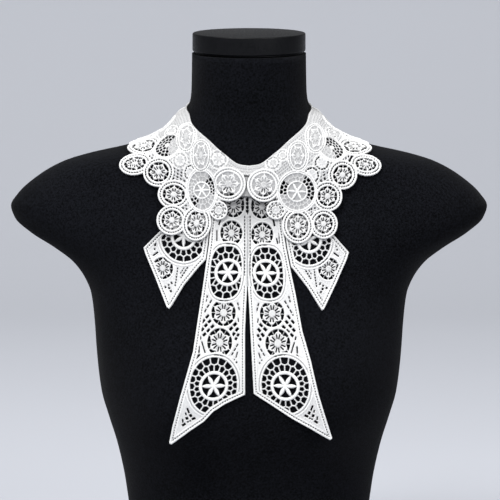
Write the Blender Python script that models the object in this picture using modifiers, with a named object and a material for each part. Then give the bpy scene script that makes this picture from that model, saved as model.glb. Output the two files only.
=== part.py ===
"""Lace jabot with a scalloped collar, on a limbless dress form.

Metres, +Z up. The front faces -Y and the form stands on its flat base at z = 0.
The lace is two collar halves over an under collar, two long tails and two short tabs.
"""
import math

import bpy
import bmesh
import numpy as np
from mathutils import Matrix, Vector
from mathutils.geometry import delaunay_2d_cdt

MM = 0.001

# Dress form: height, half width, depth of the front and of the back
FORM_SECTIONS = (
    (0.000, 0.1160, 0.088, 0.086),
    (0.030, 0.1110, 0.083, 0.080),
    (0.065, 0.1100, 0.080, 0.075),
    (0.110, 0.1145, 0.083, 0.073),
    (0.150, 0.1225, 0.091, 0.077),
    (0.175, 0.1300, 0.097, 0.081),
    (0.200, 0.1370, 0.100, 0.087),
    (0.235, 0.1410, 0.099, 0.094),
    (0.265, 0.1430, 0.094, 0.098),
    (0.290, 0.1460, 0.088, 0.100),
    (0.305, 0.1520, 0.085, 0.100),
    (0.320, 0.1630, 0.082, 0.099),
    (0.333, 0.1800, 0.079, 0.098),
    (0.347, 0.2020, 0.075, 0.096),
    (0.360, 0.2160, 0.071, 0.093),
    (0.371, 0.2195, 0.067, 0.090),
    (0.3815, 0.2133, 0.0641, 0.0862),
    (0.3971, 0.1960, 0.0594, 0.0802),
    (0.4113, 0.1710, 0.0560, 0.0742),
    (0.4182, 0.1480, 0.0545, 0.0709),
    (0.4240, 0.1210, 0.0532, 0.0676),
    (0.4301, 0.0980, 0.0523, 0.0638),
    (0.4386, 0.0800, 0.0512, 0.0591),
    (0.4486, 0.0660, 0.0510, 0.0554),
    (0.4595, 0.0570, 0.0510, 0.0531),
    (0.475, 0.0530, 0.052, 0.051),
    (0.5115, 0.0522, 0.054, 0.048),
)
SQUARENESS = 2.2
BUST_ACROSS = 0.074
BUST_HEIGHT = 0.200
BUST_HALF_WIDTH = 0.040
BUST_ABOVE = 0.057
BUST_BELOW = 0.036
BUST_OUT = 0.024
FORM_SIDES = 40
NECK_TOP = 0.5115
HOLLOW_FROM = 0.401
HOLLOW_TO = 0.474
HOLLOW_LEVELS = 16

# Neck cap
CAP_RADIUS = 0.0518
CAP_CENTRE_Y = -0.003
CAP_DEPTH_RATIO = 0.985
CAP_GAP = 0.0003
CAP_FOOT = 0.0022
CAP_FOOT_INSET = 0.0022
CAP_TOP = 0.5305
CAP_EDGE = 0.0012
CAP_SIDES = 48

# Neck edge of the collar: angle from the front in degrees, height
NECK_EDGE = (
    (0, 0.4145),
    (8, 0.4155),
    (25, 0.4265),
    (40, 0.4390),
    (55, 0.4490),
    (70, 0.4585),
    (90, 0.4620),
    (125, 0.4660),
    (180, 0.4700),
)
LOWEST_COLLAR = 0.240
COLLAR_REACH = 0.108
MID_RADIUS = 0.085
CENTRE_FRONT = -2.6
BACK_OPENING = 177.6
SEAM = 0.30 * MM

# How far the collar stands off the form: angle, near the neck, towards its edge,
# and the distance from the neck edge where it starts to come down
COLLAR_LIFT = (
    (0, 5.2 * MM, 3.4 * MM, 34 * MM),
    (52, 5.4 * MM, 3.4 * MM, 34 * MM),
    (72, 5.0 * MM, 1.4 * MM, 20 * MM),
    (90, 4.6 * MM, 1.1 * MM, 10 * MM),
    (115, 4.8 * MM, 1.1 * MM, 10 * MM),
    (180, 4.6 * MM, 0.9 * MM, 20 * MM),
)
EDGE_LIFT = 0.7 * MM
LIFT_RISE = 13 * MM
LIFT_FALL = 26 * MM
WALL = 1.3 * MM
CORD_RISE = 0.7 * MM
ROLL_MIDDLE = 1.6 * MM
ROLL_HALF = 2.0 * MM
ROLL_RISE = 0.8 * MM
NECK_ROWS = (1.6 * MM, 4.0 * MM, 7.0 * MM, 10.5 * MM, 14.0 * MM)
NECK_PITCH = 9.0 * MM

# Collar rounds, one table for each side: angle, distance from the neck edge in mm,
# half width and half length in mm, turn in degrees
LEFT_ROUNDS = (
    (72.8, 54.2, 16.2, 13.2, 10),
    (66.4, 70.0, 15.0, 11.4, 40),
    (57.4, 56.4, 14.2, 13.2, 15),
    (49, 65.0, 13.5, 12.9, 10),
    (46.2, 85.9, 13.4, 13.1, 0),
    (34, 76.2, 12.1, 15.4, 6),
    (22.5, 52.3, 8.2, 8.7, 0),
    (17, 24.2, 14.3, 14.4, 0),
    (35.2, 46.0, 13.8, 18.2, 16),
    (60, 36.8, 12.4, 10.6, -14),
    (53, 13.0, 8.2, 14.6, 26),
    (39.8, 18.1, 8.5, 14.2, 13),
    (26.9, 8.6, 8.4, 8.6, 0),
)
RIGHT_ROUNDS = (
    (72, 55.8, 15.6, 12.0, 16),
    (67, 72.8, 14.6, 11.1, 38),
    (58.1, 60.5, 14.0, 13.4, -30),
    (49.8, 66.9, 12.9, 13.5, 20),
    (44.6, 87.2, 13.0, 13.8, 20),
    (31.2, 75.7, 12.2, 16.1, 8),
    (20.2, 50.0, 8.8, 8.6, 0),
    (12.9, 21.8, 14.8, 14.0, 0),
    (35.6, 47.5, 15.9, 17.8, 14),
    (59.4, 37.0, 12.4, 10.6, -28),
    (55.5, 15.6, 8.4, 15.0, 34),
    (41.4, 18.9, 8.6, 13.6, 14),
    (21.6, 7.4, 6.8, 7.0, 0),
)
BACK_ROUNDS = (
    (86, 52.0, 13.6, 14.0, 0),
    (102, 49.5, 13.6, 13.8, 0),
    (118, 47.5, 13.6, 13.6, 0),
    (134, 46.0, 13.6, 13.4, 0),
    (150, 45.0, 13.4, 13.4, 0),
    (166, 44.5, 13.4, 13.4, 0),
    (78, 27.0, 11.5, 12.0, 0),
    (110, 22.0, 12.5, 12.5, 0),
    (141, 20.0, 12.5, 12.0, 0),
    (168, 19.0, 11.0, 12.0, 0),
)
# Filled ground between the rounds: angle, distance from the neck edge in mm
GROUND = (
    (0, 9.5),
    (9, 10.0),
    (20, 24.0),
    (25, 44.0),
    (29, 57.0),
    (32, 60.0),
    (42, 70.5),
    (46, 72.5),
    (52, 59.5),
    (58, 56.0),
    (64, 56.0),
    (72, 48.0),
    (80, 44.0),
    (180, 38.0),
)
ROUND_DEPTH = 7 * MM
RING_INSET = 1.9 * MM
RING_HALF = 1.5 * MM
STAR_SHARE = 0.52
STAR_RISE = 0.5 * MM

# Under collar: angle, distance of its lower edge in mm
UNDER_EDGE = (
    (0, 29.0),
    (22, 30.0),
    (40, 30.0),
    (58, 27.0),
    (90, 26.0),
    (180, 26.0),
)
UNDER_START = 5.5 * MM
UNDER_WALL = 1.1 * MM
UNDER_LIFT = 0.75 * MM
UNDER_OVER_TAILS = 2.5 * MM
UNDER_OPENING = 176.5

# Tails, seen from the front: across and height in mm, down the outer edge
# to the tip and up the inner edge
LEFT_TAIL = (
    (-22.5, 399.0),
    (-33.4, 372.0),
    (-34.6, 363.0),
    (-36.2, 345.0),
    (-38.2, 332.0),
    (-43.2, 298.0),
    (-50.4, 252.0),
    (-61.8, 212.5),
    (-68.5, 186.0),
    (-71.5, 170.5),
    (-69.6, 169.0),
    (-53.0, 182.0),
    (-40.5, 190.5),
    (-32.5, 199.0),
    (-22.0, 205.5),
    (-3.4, 213.8),
    (-3.5, 268.0),
    (-2.6, 288.0),
    (-1.6, 307.0),
    (-1.6, 399.0),
)
RIGHT_TAIL = (
    (20.0, 399.0),
    (29.6, 372.0),
    (31.4, 357.0),
    (33.4, 342.5),
    (37.0, 325.0),
    (42.0, 302.0),
    (48.0, 270.0),
    (55.7, 244.0),
    (62.4, 215.0),
    (71.0, 186.0),
    (74.5, 174.5),
    (72.4, 173.0),
    (55.0, 184.0),
    (38.7, 193.0),
    (22.0, 203.5),
    (4.2, 214.5),
    (1.2, 268.0),
    (0.2, 288.0),
    (-1.0, 307.0),
    (-1.0, 399.0),
)
# Medallions of a tail: across, height, half width, half height in mm
LEFT_FLOWERS = (
    (-11.7, 378.5, 9.0, 9.5),
    (-15.8, 356.0, 10.8, 10.8),
    (-22.8, 285.0, 10.8, 10.8),
    (-27.0, 261.0, 11.4, 11.2),
)
RIGHT_FLOWERS = (
    (9.5, 378.0, 9.0, 9.5),
    (12.0, 355.0, 10.8, 10.8),
    (20.6, 284.5, 10.8, 10.8),
    (26.0, 259.5, 11.4, 11.2),
)
# Net wheels: across, height, half width and half height of the net, radius of the
# hub's ring, all in mm, and cells round
LEFT_WHEELS = (
    (-20.8, 321.0, 14.6, 22.0, 9.4, 18),
    (-32.2, 224.0, 20.8, 24.6, 10.2, 20),
)
RIGHT_WHEELS = (
    (17.2, 320.0, 14.6, 22.0, 9.4, 18),
    (32.4, 224.0, 20.8, 24.6, 10.2, 20),
)
TAIL_LIFT = 0.7 * MM

# Tabs: across and height in mm, from the hidden top round the tip
LEFT_TAB = (
    (-34.2, 372.0),
    (-66.0, 368.0),
    (-82.0, 355.0),
    (-95.3, 341.5),
    (-93.5, 336.0),
    (-84.0, 314.0),
    (-74.0, 289.5),
    (-71.6, 287.8),
    (-68.5, 292.0),
    (-58.3, 309.0),
    (-46.5, 323.6),
    (-38.95, 331.8),
    (-36.95, 345.0),
    (-35.35, 363.0),
)
RIGHT_TAB = (
    (30.4, 372.0),
    (62.0, 368.0),
    (78.0, 351.5),
    (90.2, 337.5),
    (88.0, 331.0),
    (78.0, 309.0),
    (67.5, 288.0),
    (65.4, 286.6),
    (62.5, 291.0),
    (52.5, 307.0),
    (42.0, 320.5),
    (37.75, 325.6),
    (34.15, 342.7),
    (32.15, 357.2),
)
LEFT_TAB_WHEEL = ((-58.8, 347.0, 19.0, 20.0, 9.4, 18),)
RIGHT_TAB_WHEEL = ((54.0, 344.5, 18.0, 20.0, 9.4, 18),)
LEFT_TAB_FLOWER = ((-76.4, 322.0, 7.6, 7.6),)
RIGHT_TAB_FLOWER = ((70.5, 322.0, 7.6, 7.6),)
TAB_LIFT = 0.7 * MM

# Cut-through cells of the net wheels
HUB_GAPS = 6
HUB_GAP_INNER = 0.54
HUB_GAP_OUTER = 0.98
HUB_GAP_HALF_ANGLE = 17.5
HUB_RING = 2.6 * MM
CELL_SHARE = 0.76
CELL_DEPTH = 0.54
CELL_SHOULDER = 0.55
CELL_LEAST = 3.4 * MM
CELL_CLEAR = 2.2 * MM
POINT_CLEAR = 1.0 * MM
SIDE_BOW = 0.03 * MM

# Corded edge of tails and tabs, and the pitch of the meshes
EDGE_CORD_IN = 1.6 * MM
EDGE_CORD_HALF = 1.5 * MM
EDGE_STEP = 6.0 * MM
PLAIN_ABOVE = 0.372
PLAIN_FADE = 6 * MM
LOOP_PITCH = 5.4 * MM
OUTER_PITCH = 8.0 * MM
INNER_PITCH = 12.0 * MM
OUTLINE_SLACK = 0.12 * MM
OUTLINE_GRID = 1.25 * MM
UNDER_COLUMNS = 48
UNDER_ROWS = 6

# Button and loop at the nape
BUTTON_RADIUS = 5.0 * MM
BUTTON_ANGLE = 172.4
BUTTON_OUT = 5.0 * MM
SHANK_RADIUS = 1.6 * MM
SHANK_HEIGHT = 2.6 * MM
BUTTON_THICK = 2.4 * MM
LOOP_RADIUS = 2.9 * MM
LOOP_THREAD = 0.55 * MM
LOOP_LIFT = 1.6 * MM
BUTTON_SIDES = 24
LOOP_FOOT_ANGLE = 183.4

# Everything is set this far back, to bring the middle of the whole over the origin
SET_BACK = 9.0 * MM

BLACK_CLOTH = ("form_cloth", (0.012, 0.013, 0.016), 0.85)
BLACK_CAP = ("form_cap", (0.022, 0.023, 0.026), 0.55)
WHITE_LACE = ("lace_white", (0.86, 0.86, 0.85), 0.80)
WHITE_UNDER = ("lace_under", (0.80, 0.80, 0.79), 0.85)
PEARL = ("button_pearl", (0.86, 0.84, 0.80), 0.35)


def soft_step(t):
    """Ease from 0 to 1."""
    t = np.clip(t, 0.0, 1.0)
    return t * t * (3.0 - 2.0 * t)


def curve_slopes(x, y):
    """Slopes of a curve through the points that never overshoots them."""
    h = np.diff(x)
    d = np.diff(y) / h
    m = np.zeros_like(y)
    m[0] = d[0]
    m[-1] = d[-1]
    for i in range(1, len(y) - 1):
        if d[i - 1] * d[i] > 0:
            w1 = 2 * h[i] + h[i - 1]
            w2 = h[i] + 2 * h[i - 1]
            m[i] = (w1 + w2) / (w1 / d[i - 1] + w2 / d[i])
    return m


class Curve:
    """A smooth curve through the rows of a table."""

    def __init__(self, rows, column=1):
        table = np.array(rows, float)
        self.x = table[:, 0]
        self.y = table[:, column]
        self.m = curve_slopes(self.x, self.y)

    def __call__(self, value):
        x = np.clip(value, self.x[0], self.x[-1])
        i = np.clip(np.searchsorted(self.x, x, side="right") - 1, 0, len(self.x) - 2)
        h = self.x[i + 1] - self.x[i]
        t = (x - self.x[i]) / h
        rise = (t ** 3 - 2 * t ** 2 + t) * h * self.m[i] + (t ** 3 - t ** 2) * h * self.m[i + 1]
        return (2 * t ** 3 - 3 * t ** 2 + 1) * self.y[i] + (3 * t ** 2 - 2 * t ** 3) * self.y[i + 1] + rise


half_width = Curve(FORM_SECTIONS, 1)
front_depth = Curve(FORM_SECTIONS, 2)
back_depth = Curve(FORM_SECTIONS, 3)
neck_edge = Curve(NECK_EDGE)
lift_near = Curve(COLLAR_LIFT, 1)
lift_far = Curve(COLLAR_LIFT, 2)
lift_start = Curve(COLLAR_LIFT, 3)
ground_edge = Curve(GROUND)
under_edge = Curve(UNDER_EDGE)


def bust(x, z):
    """How far the bust stands out of the chest."""
    reach = np.where(z > BUST_HEIGHT, BUST_ABOVE, BUST_BELOW)
    sides = [np.exp(-((x - s * BUST_ACROSS) / BUST_HALF_WIDTH) ** 2 / 2) for s in (-1, 1)]
    return BUST_OUT * (sides[0] + sides[1]) * np.exp(-((z - BUST_HEIGHT) / reach) ** 2 / 2)


def form_radius(z, angle):
    """Distance of the form's surface from its upright axis, at a height and an angle."""
    c = np.cos(angle)
    s = np.sin(angle)
    depth = np.where(c > 0, front_depth(z), back_depth(z))
    power = (np.abs(s) / half_width(z)) ** SQUARENESS + (np.abs(c) / depth) ** SQUARENESS
    r = power ** (-1 / SQUARENESS)
    return r + bust(r * s, z) * np.clip(c, 0, 1)


def form_front(x, z):
    """The y of the form's front at a place across and a height."""
    u = np.clip(np.abs(x) / half_width(z), 0, 1)
    return -front_depth(z) * (1 - u ** SQUARENESS) ** (1 / SQUARENESS) - bust(x, z)


def unit(v):
    return v / np.linalg.norm(v, axis=-1, keepdims=True)


class Drape:
    """A surface kept as a grid of points and normals, read between them."""

    def __init__(self, points, outward, low, step):
        across = np.gradient(points, axis=0)
        along = np.gradient(points, axis=1)
        normal = unit(np.cross(along, across))
        facing = np.sign((normal * outward(points)).sum(-1, keepdims=True))
        self.points = points
        self.normals = normal * facing
        self.low = low
        self.step = step

    def read(self, u, v):
        i = (np.asarray(u, float) - self.low[0]) / self.step[0]
        j = (np.asarray(v, float) - self.low[1]) / self.step[1]
        i0 = np.clip(np.floor(i).astype(int), 0, self.points.shape[0] - 2)
        j0 = np.clip(np.floor(j).astype(int), 0, self.points.shape[1] - 2)
        a = (i - i0)[..., None]
        b = (j - j0)[..., None]
        found = []
        for grid in (self.points, self.normals):
            near = grid[i0, j0] * (1 - a) + grid[i0 + 1, j0] * a
            far = grid[i0, j0 + 1] * (1 - a) + grid[i0 + 1, j0 + 1] * a
            found.append(near * (1 - b) + far * b)
        return found


def collar_drape():
    """The form's surface round the neck, by angle and by distance from the neck edge."""
    degrees = np.arange(0.0, 185.0, 1.0)
    steps = np.arange(0.0, COLLAR_REACH + 0.5 * MM, 0.5 * MM)
    points = np.zeros((len(degrees), len(steps), 3))
    for i, deg in enumerate(degrees):
        angle = math.radians(deg)
        top = neck_edge(min(deg, 360 - deg))
        z = np.linspace(top, LOWEST_COLLAR, 500)
        r = form_radius(z, angle)
        along = np.concatenate(([0.0], np.cumsum(np.hypot(np.diff(z), np.diff(r)))))
        rr = np.interp(steps, along, r)
        points[i, :, 0] = rr * math.sin(angle)
        points[i, :, 1] = -rr * math.cos(angle)
        points[i, :, 2] = np.interp(steps, along, z)

    def outward(p):
        return np.stack([p[..., 0], p[..., 1], np.full(p.shape[:2], 0.02)], -1)

    return Drape(points, outward, (0.0, 0.0), (1.0, 0.5 * MM))


def blur(grid, width, axis):
    """Soften a grid along one axis by a bell of this width in cells."""
    reach = int(3 * width)
    bell = np.exp(-(np.arange(-reach, reach + 1) / width) ** 2 / 2)
    bell /= bell.sum()
    wide = np.concatenate([np.repeat(np.take(grid, [0], axis), reach, axis), grid,
                           np.repeat(np.take(grid, [-1], axis), reach, axis)], axis)
    return np.apply_along_axis(lambda row: np.convolve(row, bell, "valid"), axis, wide)


def front_drape():
    """Cloth that hangs down the front: it lies on the chest and falls straight off the bust."""
    across = np.arange(-0.120, 0.1205, 0.001)
    height = np.arange(0.100, 0.4305, 0.001)
    x, z = np.meshgrid(across, height, indexing="ij")
    skin = form_front(x, z)
    hang = np.minimum.accumulate(skin[:, ::-1], axis=1)[:, ::-1]
    bridged = np.minimum(blur(blur(hang, 6.0, 1), 6.0, 0), hang)
    eased = blur(blur(bridged, 2.0, 1), 2.0, 0)
    points = np.stack([x, eased, z], -1)

    def outward(p):
        return np.broadcast_to(np.array([0.0, -1.0, 0.0]), p.shape)

    return Drape(points, outward, (across[0], height[0]), (0.001, 0.001))


COLLAR = collar_drape()
FRONT = front_drape()


def collar_point(angle, out, off, lift):
    """A point over the form: angle in degrees, left of the front below zero."""
    side = np.where(angle < 0, -1.0, 1.0)
    base, normal = COLLAR.read(np.abs(angle), out)
    p = base + normal * (lift(angle, out) + off)[..., None]
    p[..., 0] *= side
    return p


def fall_lift(angle, out):
    """How far the collar halves stand off the form."""
    near = lift_near(np.abs(angle))
    far = lift_far(np.abs(angle))
    rise = soft_step(out / LIFT_RISE)
    ease = soft_step((out - lift_start(np.abs(angle))) / LIFT_FALL)
    return EDGE_LIFT + rise * ((near - EDGE_LIFT) * (1 - ease) + (far - EDGE_LIFT) * ease)


def under_lift(angle, out):
    """How far the under collar stands off the form: more over the tops of the tails."""
    over = 1 - soft_step((np.abs(angle) - 30) / 16)
    rise = soft_step((out - UNDER_START) / (8 * MM))
    return UNDER_LIFT + UNDER_OVER_TAILS * over * rise


def fall_place(uv, off):
    return collar_point(np.degrees(uv[:, 0] / MID_RADIUS), uv[:, 1], off, fall_lift)


def under_place(uv, off):
    return collar_point(np.degrees(uv[:, 0] / MID_RADIUS), uv[:, 1], off, under_lift)


def front_place(uv, off):
    base, normal = FRONT.read(uv[:, 0], uv[:, 1])
    return base + normal * (TAIL_LIFT + off)[..., None]


class Round:
    """An oval of the lace, flat on the drape: its middle and its two half sizes."""

    def __init__(self, place, middle, half_width, half_length, turn=0.0):
        self.place = place
        self.middle = np.array([middle], float)
        self.half = (half_width, half_length)
        step = 1 * MM
        zero = np.zeros(1)
        centre = place(self.middle, zero)[0]
        over = place(self.middle + [[step, 0]], zero)[0] - centre
        down = place(self.middle + [[0, step]], zero)[0] - centre
        second = unit(down)
        normal = unit(np.cross(over, down))
        first = np.cross(second, normal)
        c = math.cos(math.radians(turn))
        s = math.sin(math.radians(turn))
        self.centre = centre
        self.first = first * c + second * s
        self.second = second * c - first * s
        self.facing = normal

    def local(self, uv):
        d = self.place(uv, np.zeros(len(uv))) - self.centre
        return np.stack([d @ self.first, d @ self.second], 1)

    def share(self, uv):
        """0 in the middle and 1 on the oval, and more for what lies behind it."""
        d = self.place(uv, np.zeros(len(uv))) - self.centre
        behind = np.clip(np.abs(d @ self.facing) - ROUND_DEPTH, 0, None) / self.half[0]
        flat = np.hypot(d @ self.first / self.half[0], d @ self.second / self.half[1])
        return flat + behind

    def inside(self, uv):
        """Distance in from the oval's edge, below zero outside."""
        return (1 - self.share(uv)) * min(self.half)

    def spots(self, local):
        """The drape's own coordinates of points given flat on the oval."""
        uv = np.repeat(self.middle, len(local), 0)
        step = 0.5 * MM
        for _ in range(4):
            here = self.local(uv)
            du = (self.local(uv + [[step, 0]]) - here) / step
            dv = (self.local(uv + [[0, step]]) - here) / step
            miss = local - here
            det = du[:, 0] * dv[:, 1] - du[:, 1] * dv[:, 0]
            uv = uv + np.stack([(miss[:, 0] * dv[:, 1] - miss[:, 1] * dv[:, 0]) / det,
                                (du[:, 0] * miss[:, 1] - du[:, 1] * miss[:, 0]) / det], 1)
        return uv

    def loop(self, inset, count, start=0.0):
        """Points round the oval, this far in from its edge."""
        t = start + np.arange(count) * 2 * math.pi / count
        flat = np.stack([np.cos(t) * (self.half[0] - inset), np.sin(t) * (self.half[1] - inset)], 1)
        return self.spots(flat)


def inside_loops(points, loops):
    """True for the points inside the first loop and outside the others."""
    hit = np.zeros(len(points), bool)
    x = points[:, 0][:, None]
    y = points[:, 1][:, None]
    for loop in loops:
        a = np.asarray(loop)
        b = np.roll(a, -1, 0)
        crosses = (a[:, 1] > y) != (b[:, 1] > y)
        rise = np.where(b[:, 1] == a[:, 1], 1e-12, b[:, 1] - a[:, 1])
        at = a[:, 0] + (y - a[:, 1]) / rise * (b[:, 0] - a[:, 0])
        hit ^= (crosses & (x < at)).sum(1) % 2 == 1
    return hit


def edge_distance(points, loops):
    """Distance of each point from the nearest of the loops."""
    best = np.full(len(points), 1.0)
    for loop in loops:
        a = np.asarray(loop)
        b = np.roll(a, -1, 0)
        along = b - a
        rel = points[:, None, :] - a[None]
        t = np.clip((rel * along).sum(-1) / np.maximum((along ** 2).sum(-1), 1e-18), 0, 1)
        gap = np.linalg.norm(rel - t[..., None] * along, axis=-1)
        best = np.minimum(best, gap.min(1))
    return best


def spaced(points, gap, fixed):
    """Drop points closer than the gap to an earlier one or to a fixed one."""
    kept = [tuple(p) for p in fixed]
    chosen = []
    for p in points:
        near = np.array(kept)
        if len(kept) == 0 or np.hypot(near[:, 0] - p[0], near[:, 1] - p[1]).min() >= gap:
            kept.append((p[0], p[1]))
            chosen.append((p[0], p[1]))
    return np.array(chosen).reshape(-1, 2)


def scatter(loops, pitch, clear):
    """A staggered grid of points inside the loops, clear of their edges."""
    low = loops[0].min(0)
    high = loops[0].max(0)
    rows = []
    for k, v in enumerate(np.arange(low[1], high[1], pitch * 0.866)):
        u = np.arange(low[0] + (k % 2) * pitch / 2, high[0], pitch)
        rows.append(np.stack([u, np.full(len(u), v)], 1))
    grid = np.concatenate(rows)
    grid = grid[inside_loops(grid, loops)]
    return grid[edge_distance(grid, loops) > clear]


def face_list(loops, inner):
    """Triangles that fill the loops and use the inner points, by index."""
    points = np.concatenate(list(loops) + [inner])
    edges = []
    start = 0
    for loop in loops:
        n = len(loop)
        edges += [(start + i, start + (i + 1) % n) for i in range(n)]
        start += n
    scale = 1000.0
    flat = [Vector((p[0] * scale, p[1] * scale)) for p in points]
    out = delaunay_2d_cdt(flat, edges, [], 0, 1e-6)
    back = [origin[0] for origin in out[3]]
    faces = np.array([[back[i] for i in face] for face in out[2]])
    middle = points[faces].mean(1)
    return points, faces[inside_loops(middle, loops)]


def make_object(name, verts, faces, material):
    mesh = bpy.data.meshes.new(name)
    mesh.from_pydata([tuple(v) for v in verts], [], [tuple(f) for f in faces])
    bm = bmesh.new()
    bm.from_mesh(mesh)
    bmesh.ops.recalc_face_normals(bm, faces=bm.faces)
    bm.to_mesh(mesh)
    bm.free()
    obj = bpy.data.objects.new(name, mesh)
    COLLECTION.objects.link(obj)
    mesh.materials.append(paint(*material))
    return obj


def paint(name, colour, roughness):
    """The material of this name, made once."""
    mat = bpy.data.materials.get(name)
    if mat is None:
        mat = bpy.data.materials.new(name)
        mat.use_nodes = True
        shader = mat.node_tree.nodes["Principled BSDF"]
        shader.inputs["Base Color"].default_value = (*colour, 1.0)
        shader.inputs["Roughness"].default_value = roughness
        shader.inputs["Metallic"].default_value = 0.0
    return mat


def cloth_wall(name, place, loops, outer, inner, thickness, relief, material):
    """A closed wall of cloth on a drape: raised outer points over a plain inside."""
    top_points, top_faces = face_list(loops, outer)
    low_points, low_faces = face_list(loops, inner)
    rise = relief(top_points)
    top = place(top_points, thickness + rise)
    low = place(low_points, np.zeros(len(low_points)))
    count = len(top)
    faces = [tuple(f) for f in top_faces]
    faces += [tuple(int(i) + count for i in f[::-1]) for f in low_faces]
    start = 0
    for loop in loops:
        n = len(loop)
        for i in range(n):
            a = start + i
            b = start + (i + 1) % n
            faces.append((a, a + count, b + count, b))
        start += n
    return make_object(name, np.concatenate([top, low]), faces, material)


def trace(level, us, vs):
    """The longest closed outline where a grid of values passes zero."""
    links = {}
    places = {}

    def crossing(i, j, k, m):
        key = (min((i, j), (k, m)), max((i, j), (k, m)))
        if key not in places:
            a = level[i, j]
            b = level[k, m]
            t = a / (a - b)
            places[key] = (us[i] + t * (us[k] - us[i]), vs[j] + t * (vs[m] - vs[j]))
        return key

    for i in range(len(us) - 1):
        for j in range(len(vs) - 1):
            corners = [(i, j), (i + 1, j), (i + 1, j + 1), (i, j + 1)]
            signs = [level[c] > 0 for c in corners]
            if all(signs) or not any(signs):
                continue
            cuts = [crossing(*corners[k], *corners[(k + 1) % 4])
                    for k in range(4) if signs[k] != signs[(k + 1) % 4]]
            for a, b in zip(cuts[::2], cuts[1::2]):
                links.setdefault(a, []).append(b)
                links.setdefault(b, []).append(a)
    best = []
    left = set(links)
    while left:
        here = left.pop()
        chain = [here]
        while True:
            ahead = [k for k in links[here] if k in left]
            if not ahead:
                break
            here = ahead[0]
            left.discard(here)
            chain.append(here)
        if len(chain) > len(best):
            best = chain
    return np.array([places[k] for k in best])


def thin_loop(points, slack):
    """Thin a closed outline in two halves, from its two furthest points."""
    far = int(np.hypot(*(points - points[0]).T).argmax())
    first = thin_run(points[:far + 1], slack)
    second = thin_run(np.concatenate([points[far:], points[:1]]), slack)
    return np.concatenate([first[:-1], second[:-1]])


def thin_run(run, slack):
    """Keep the ends of a run and the points that bend it by more than the slack."""
    a = run[0]
    b = run[-1]
    if len(run) < 3:
        return run
    d = b - a
    size = max(np.hypot(*d), 1e-12)
    off = np.abs((run[:, 0] - a[0]) * d[1] - (run[:, 1] - a[1]) * d[0]) / size
    k = int(off.argmax())
    if off[k] <= slack:
        return run[[0, -1]]
    return np.concatenate([thin_run(run[:k + 1], slack)[:-1], thin_run(run[k:], slack)])


def split_long(loop, longest):
    """Add points so that no side is longer than this. Long sides bow out by a hair."""
    ahead = np.roll(loop, -1, 0)
    area = (loop[:, 0] * ahead[:, 1] - ahead[:, 0] * loop[:, 1]).sum() / 2
    out = []
    for a, b in zip(loop, ahead):
        d = b - a
        size = np.hypot(*d)
        n = max(1, int(math.ceil(size / longest)))
        side = np.array([d[1], -d[0]]) / size * math.copysign(1, area)
        out += [a + d * k / n + side * 4 * SIDE_BOW * (k / n) * (1 - k / n) for k in range(n)]
    return np.array(out)


class Relief:
    """What is raised on the outer face of a wall."""

    def __init__(self):
        self.parts = []
        self.edge = None
        self.plain_above = False
        self.roll = False

    def ring(self, motif, inset, half=RING_HALF, star=True):
        self.parts.append((motif, inset, half, star))

    def __call__(self, uv):
        rise = np.zeros(len(uv))
        if self.edge is not None:
            gap = edge_distance(uv, [self.edge])
            rise = CORD_RISE * np.clip(1 - np.abs(gap - EDGE_CORD_IN) / EDGE_CORD_HALF, 0, 1)
        for motif, inset, half, star in self.parts:
            share = motif.share(uv)
            gap = (1 - share) * min(motif.half)
            own = CORD_RISE * np.clip(1 - np.abs(gap - inset) / half, 0, 1)
            if star:
                own = own + STAR_RISE * (1 - soft_step((share - 0.28) / 0.25))
            rise = np.where(gap > min(0.0, inset - half), own, rise)
        if self.roll:
            fold = np.clip(1 - np.abs(uv[:, 1] - ROLL_MIDDLE) / ROLL_HALF, 0, 1)
            rise = np.maximum(rise, ROLL_RISE * fold)
        if self.plain_above:
            rise = rise * (1 - soft_step((uv[:, 1] - PLAIN_ABOVE) / PLAIN_FADE))
        return rise


def round_points(motif, insets):
    """Points on rings of a round, and its middle."""
    rows = []
    for inset in insets:
        size = 2 * math.pi * (sum(motif.half) / 2 - inset)
        count = max(6, int(round(size / LOOP_PITCH)))
        rows.append(motif.loop(inset, count))
    rows.append(motif.middle)
    return np.concatenate(rows)


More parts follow.
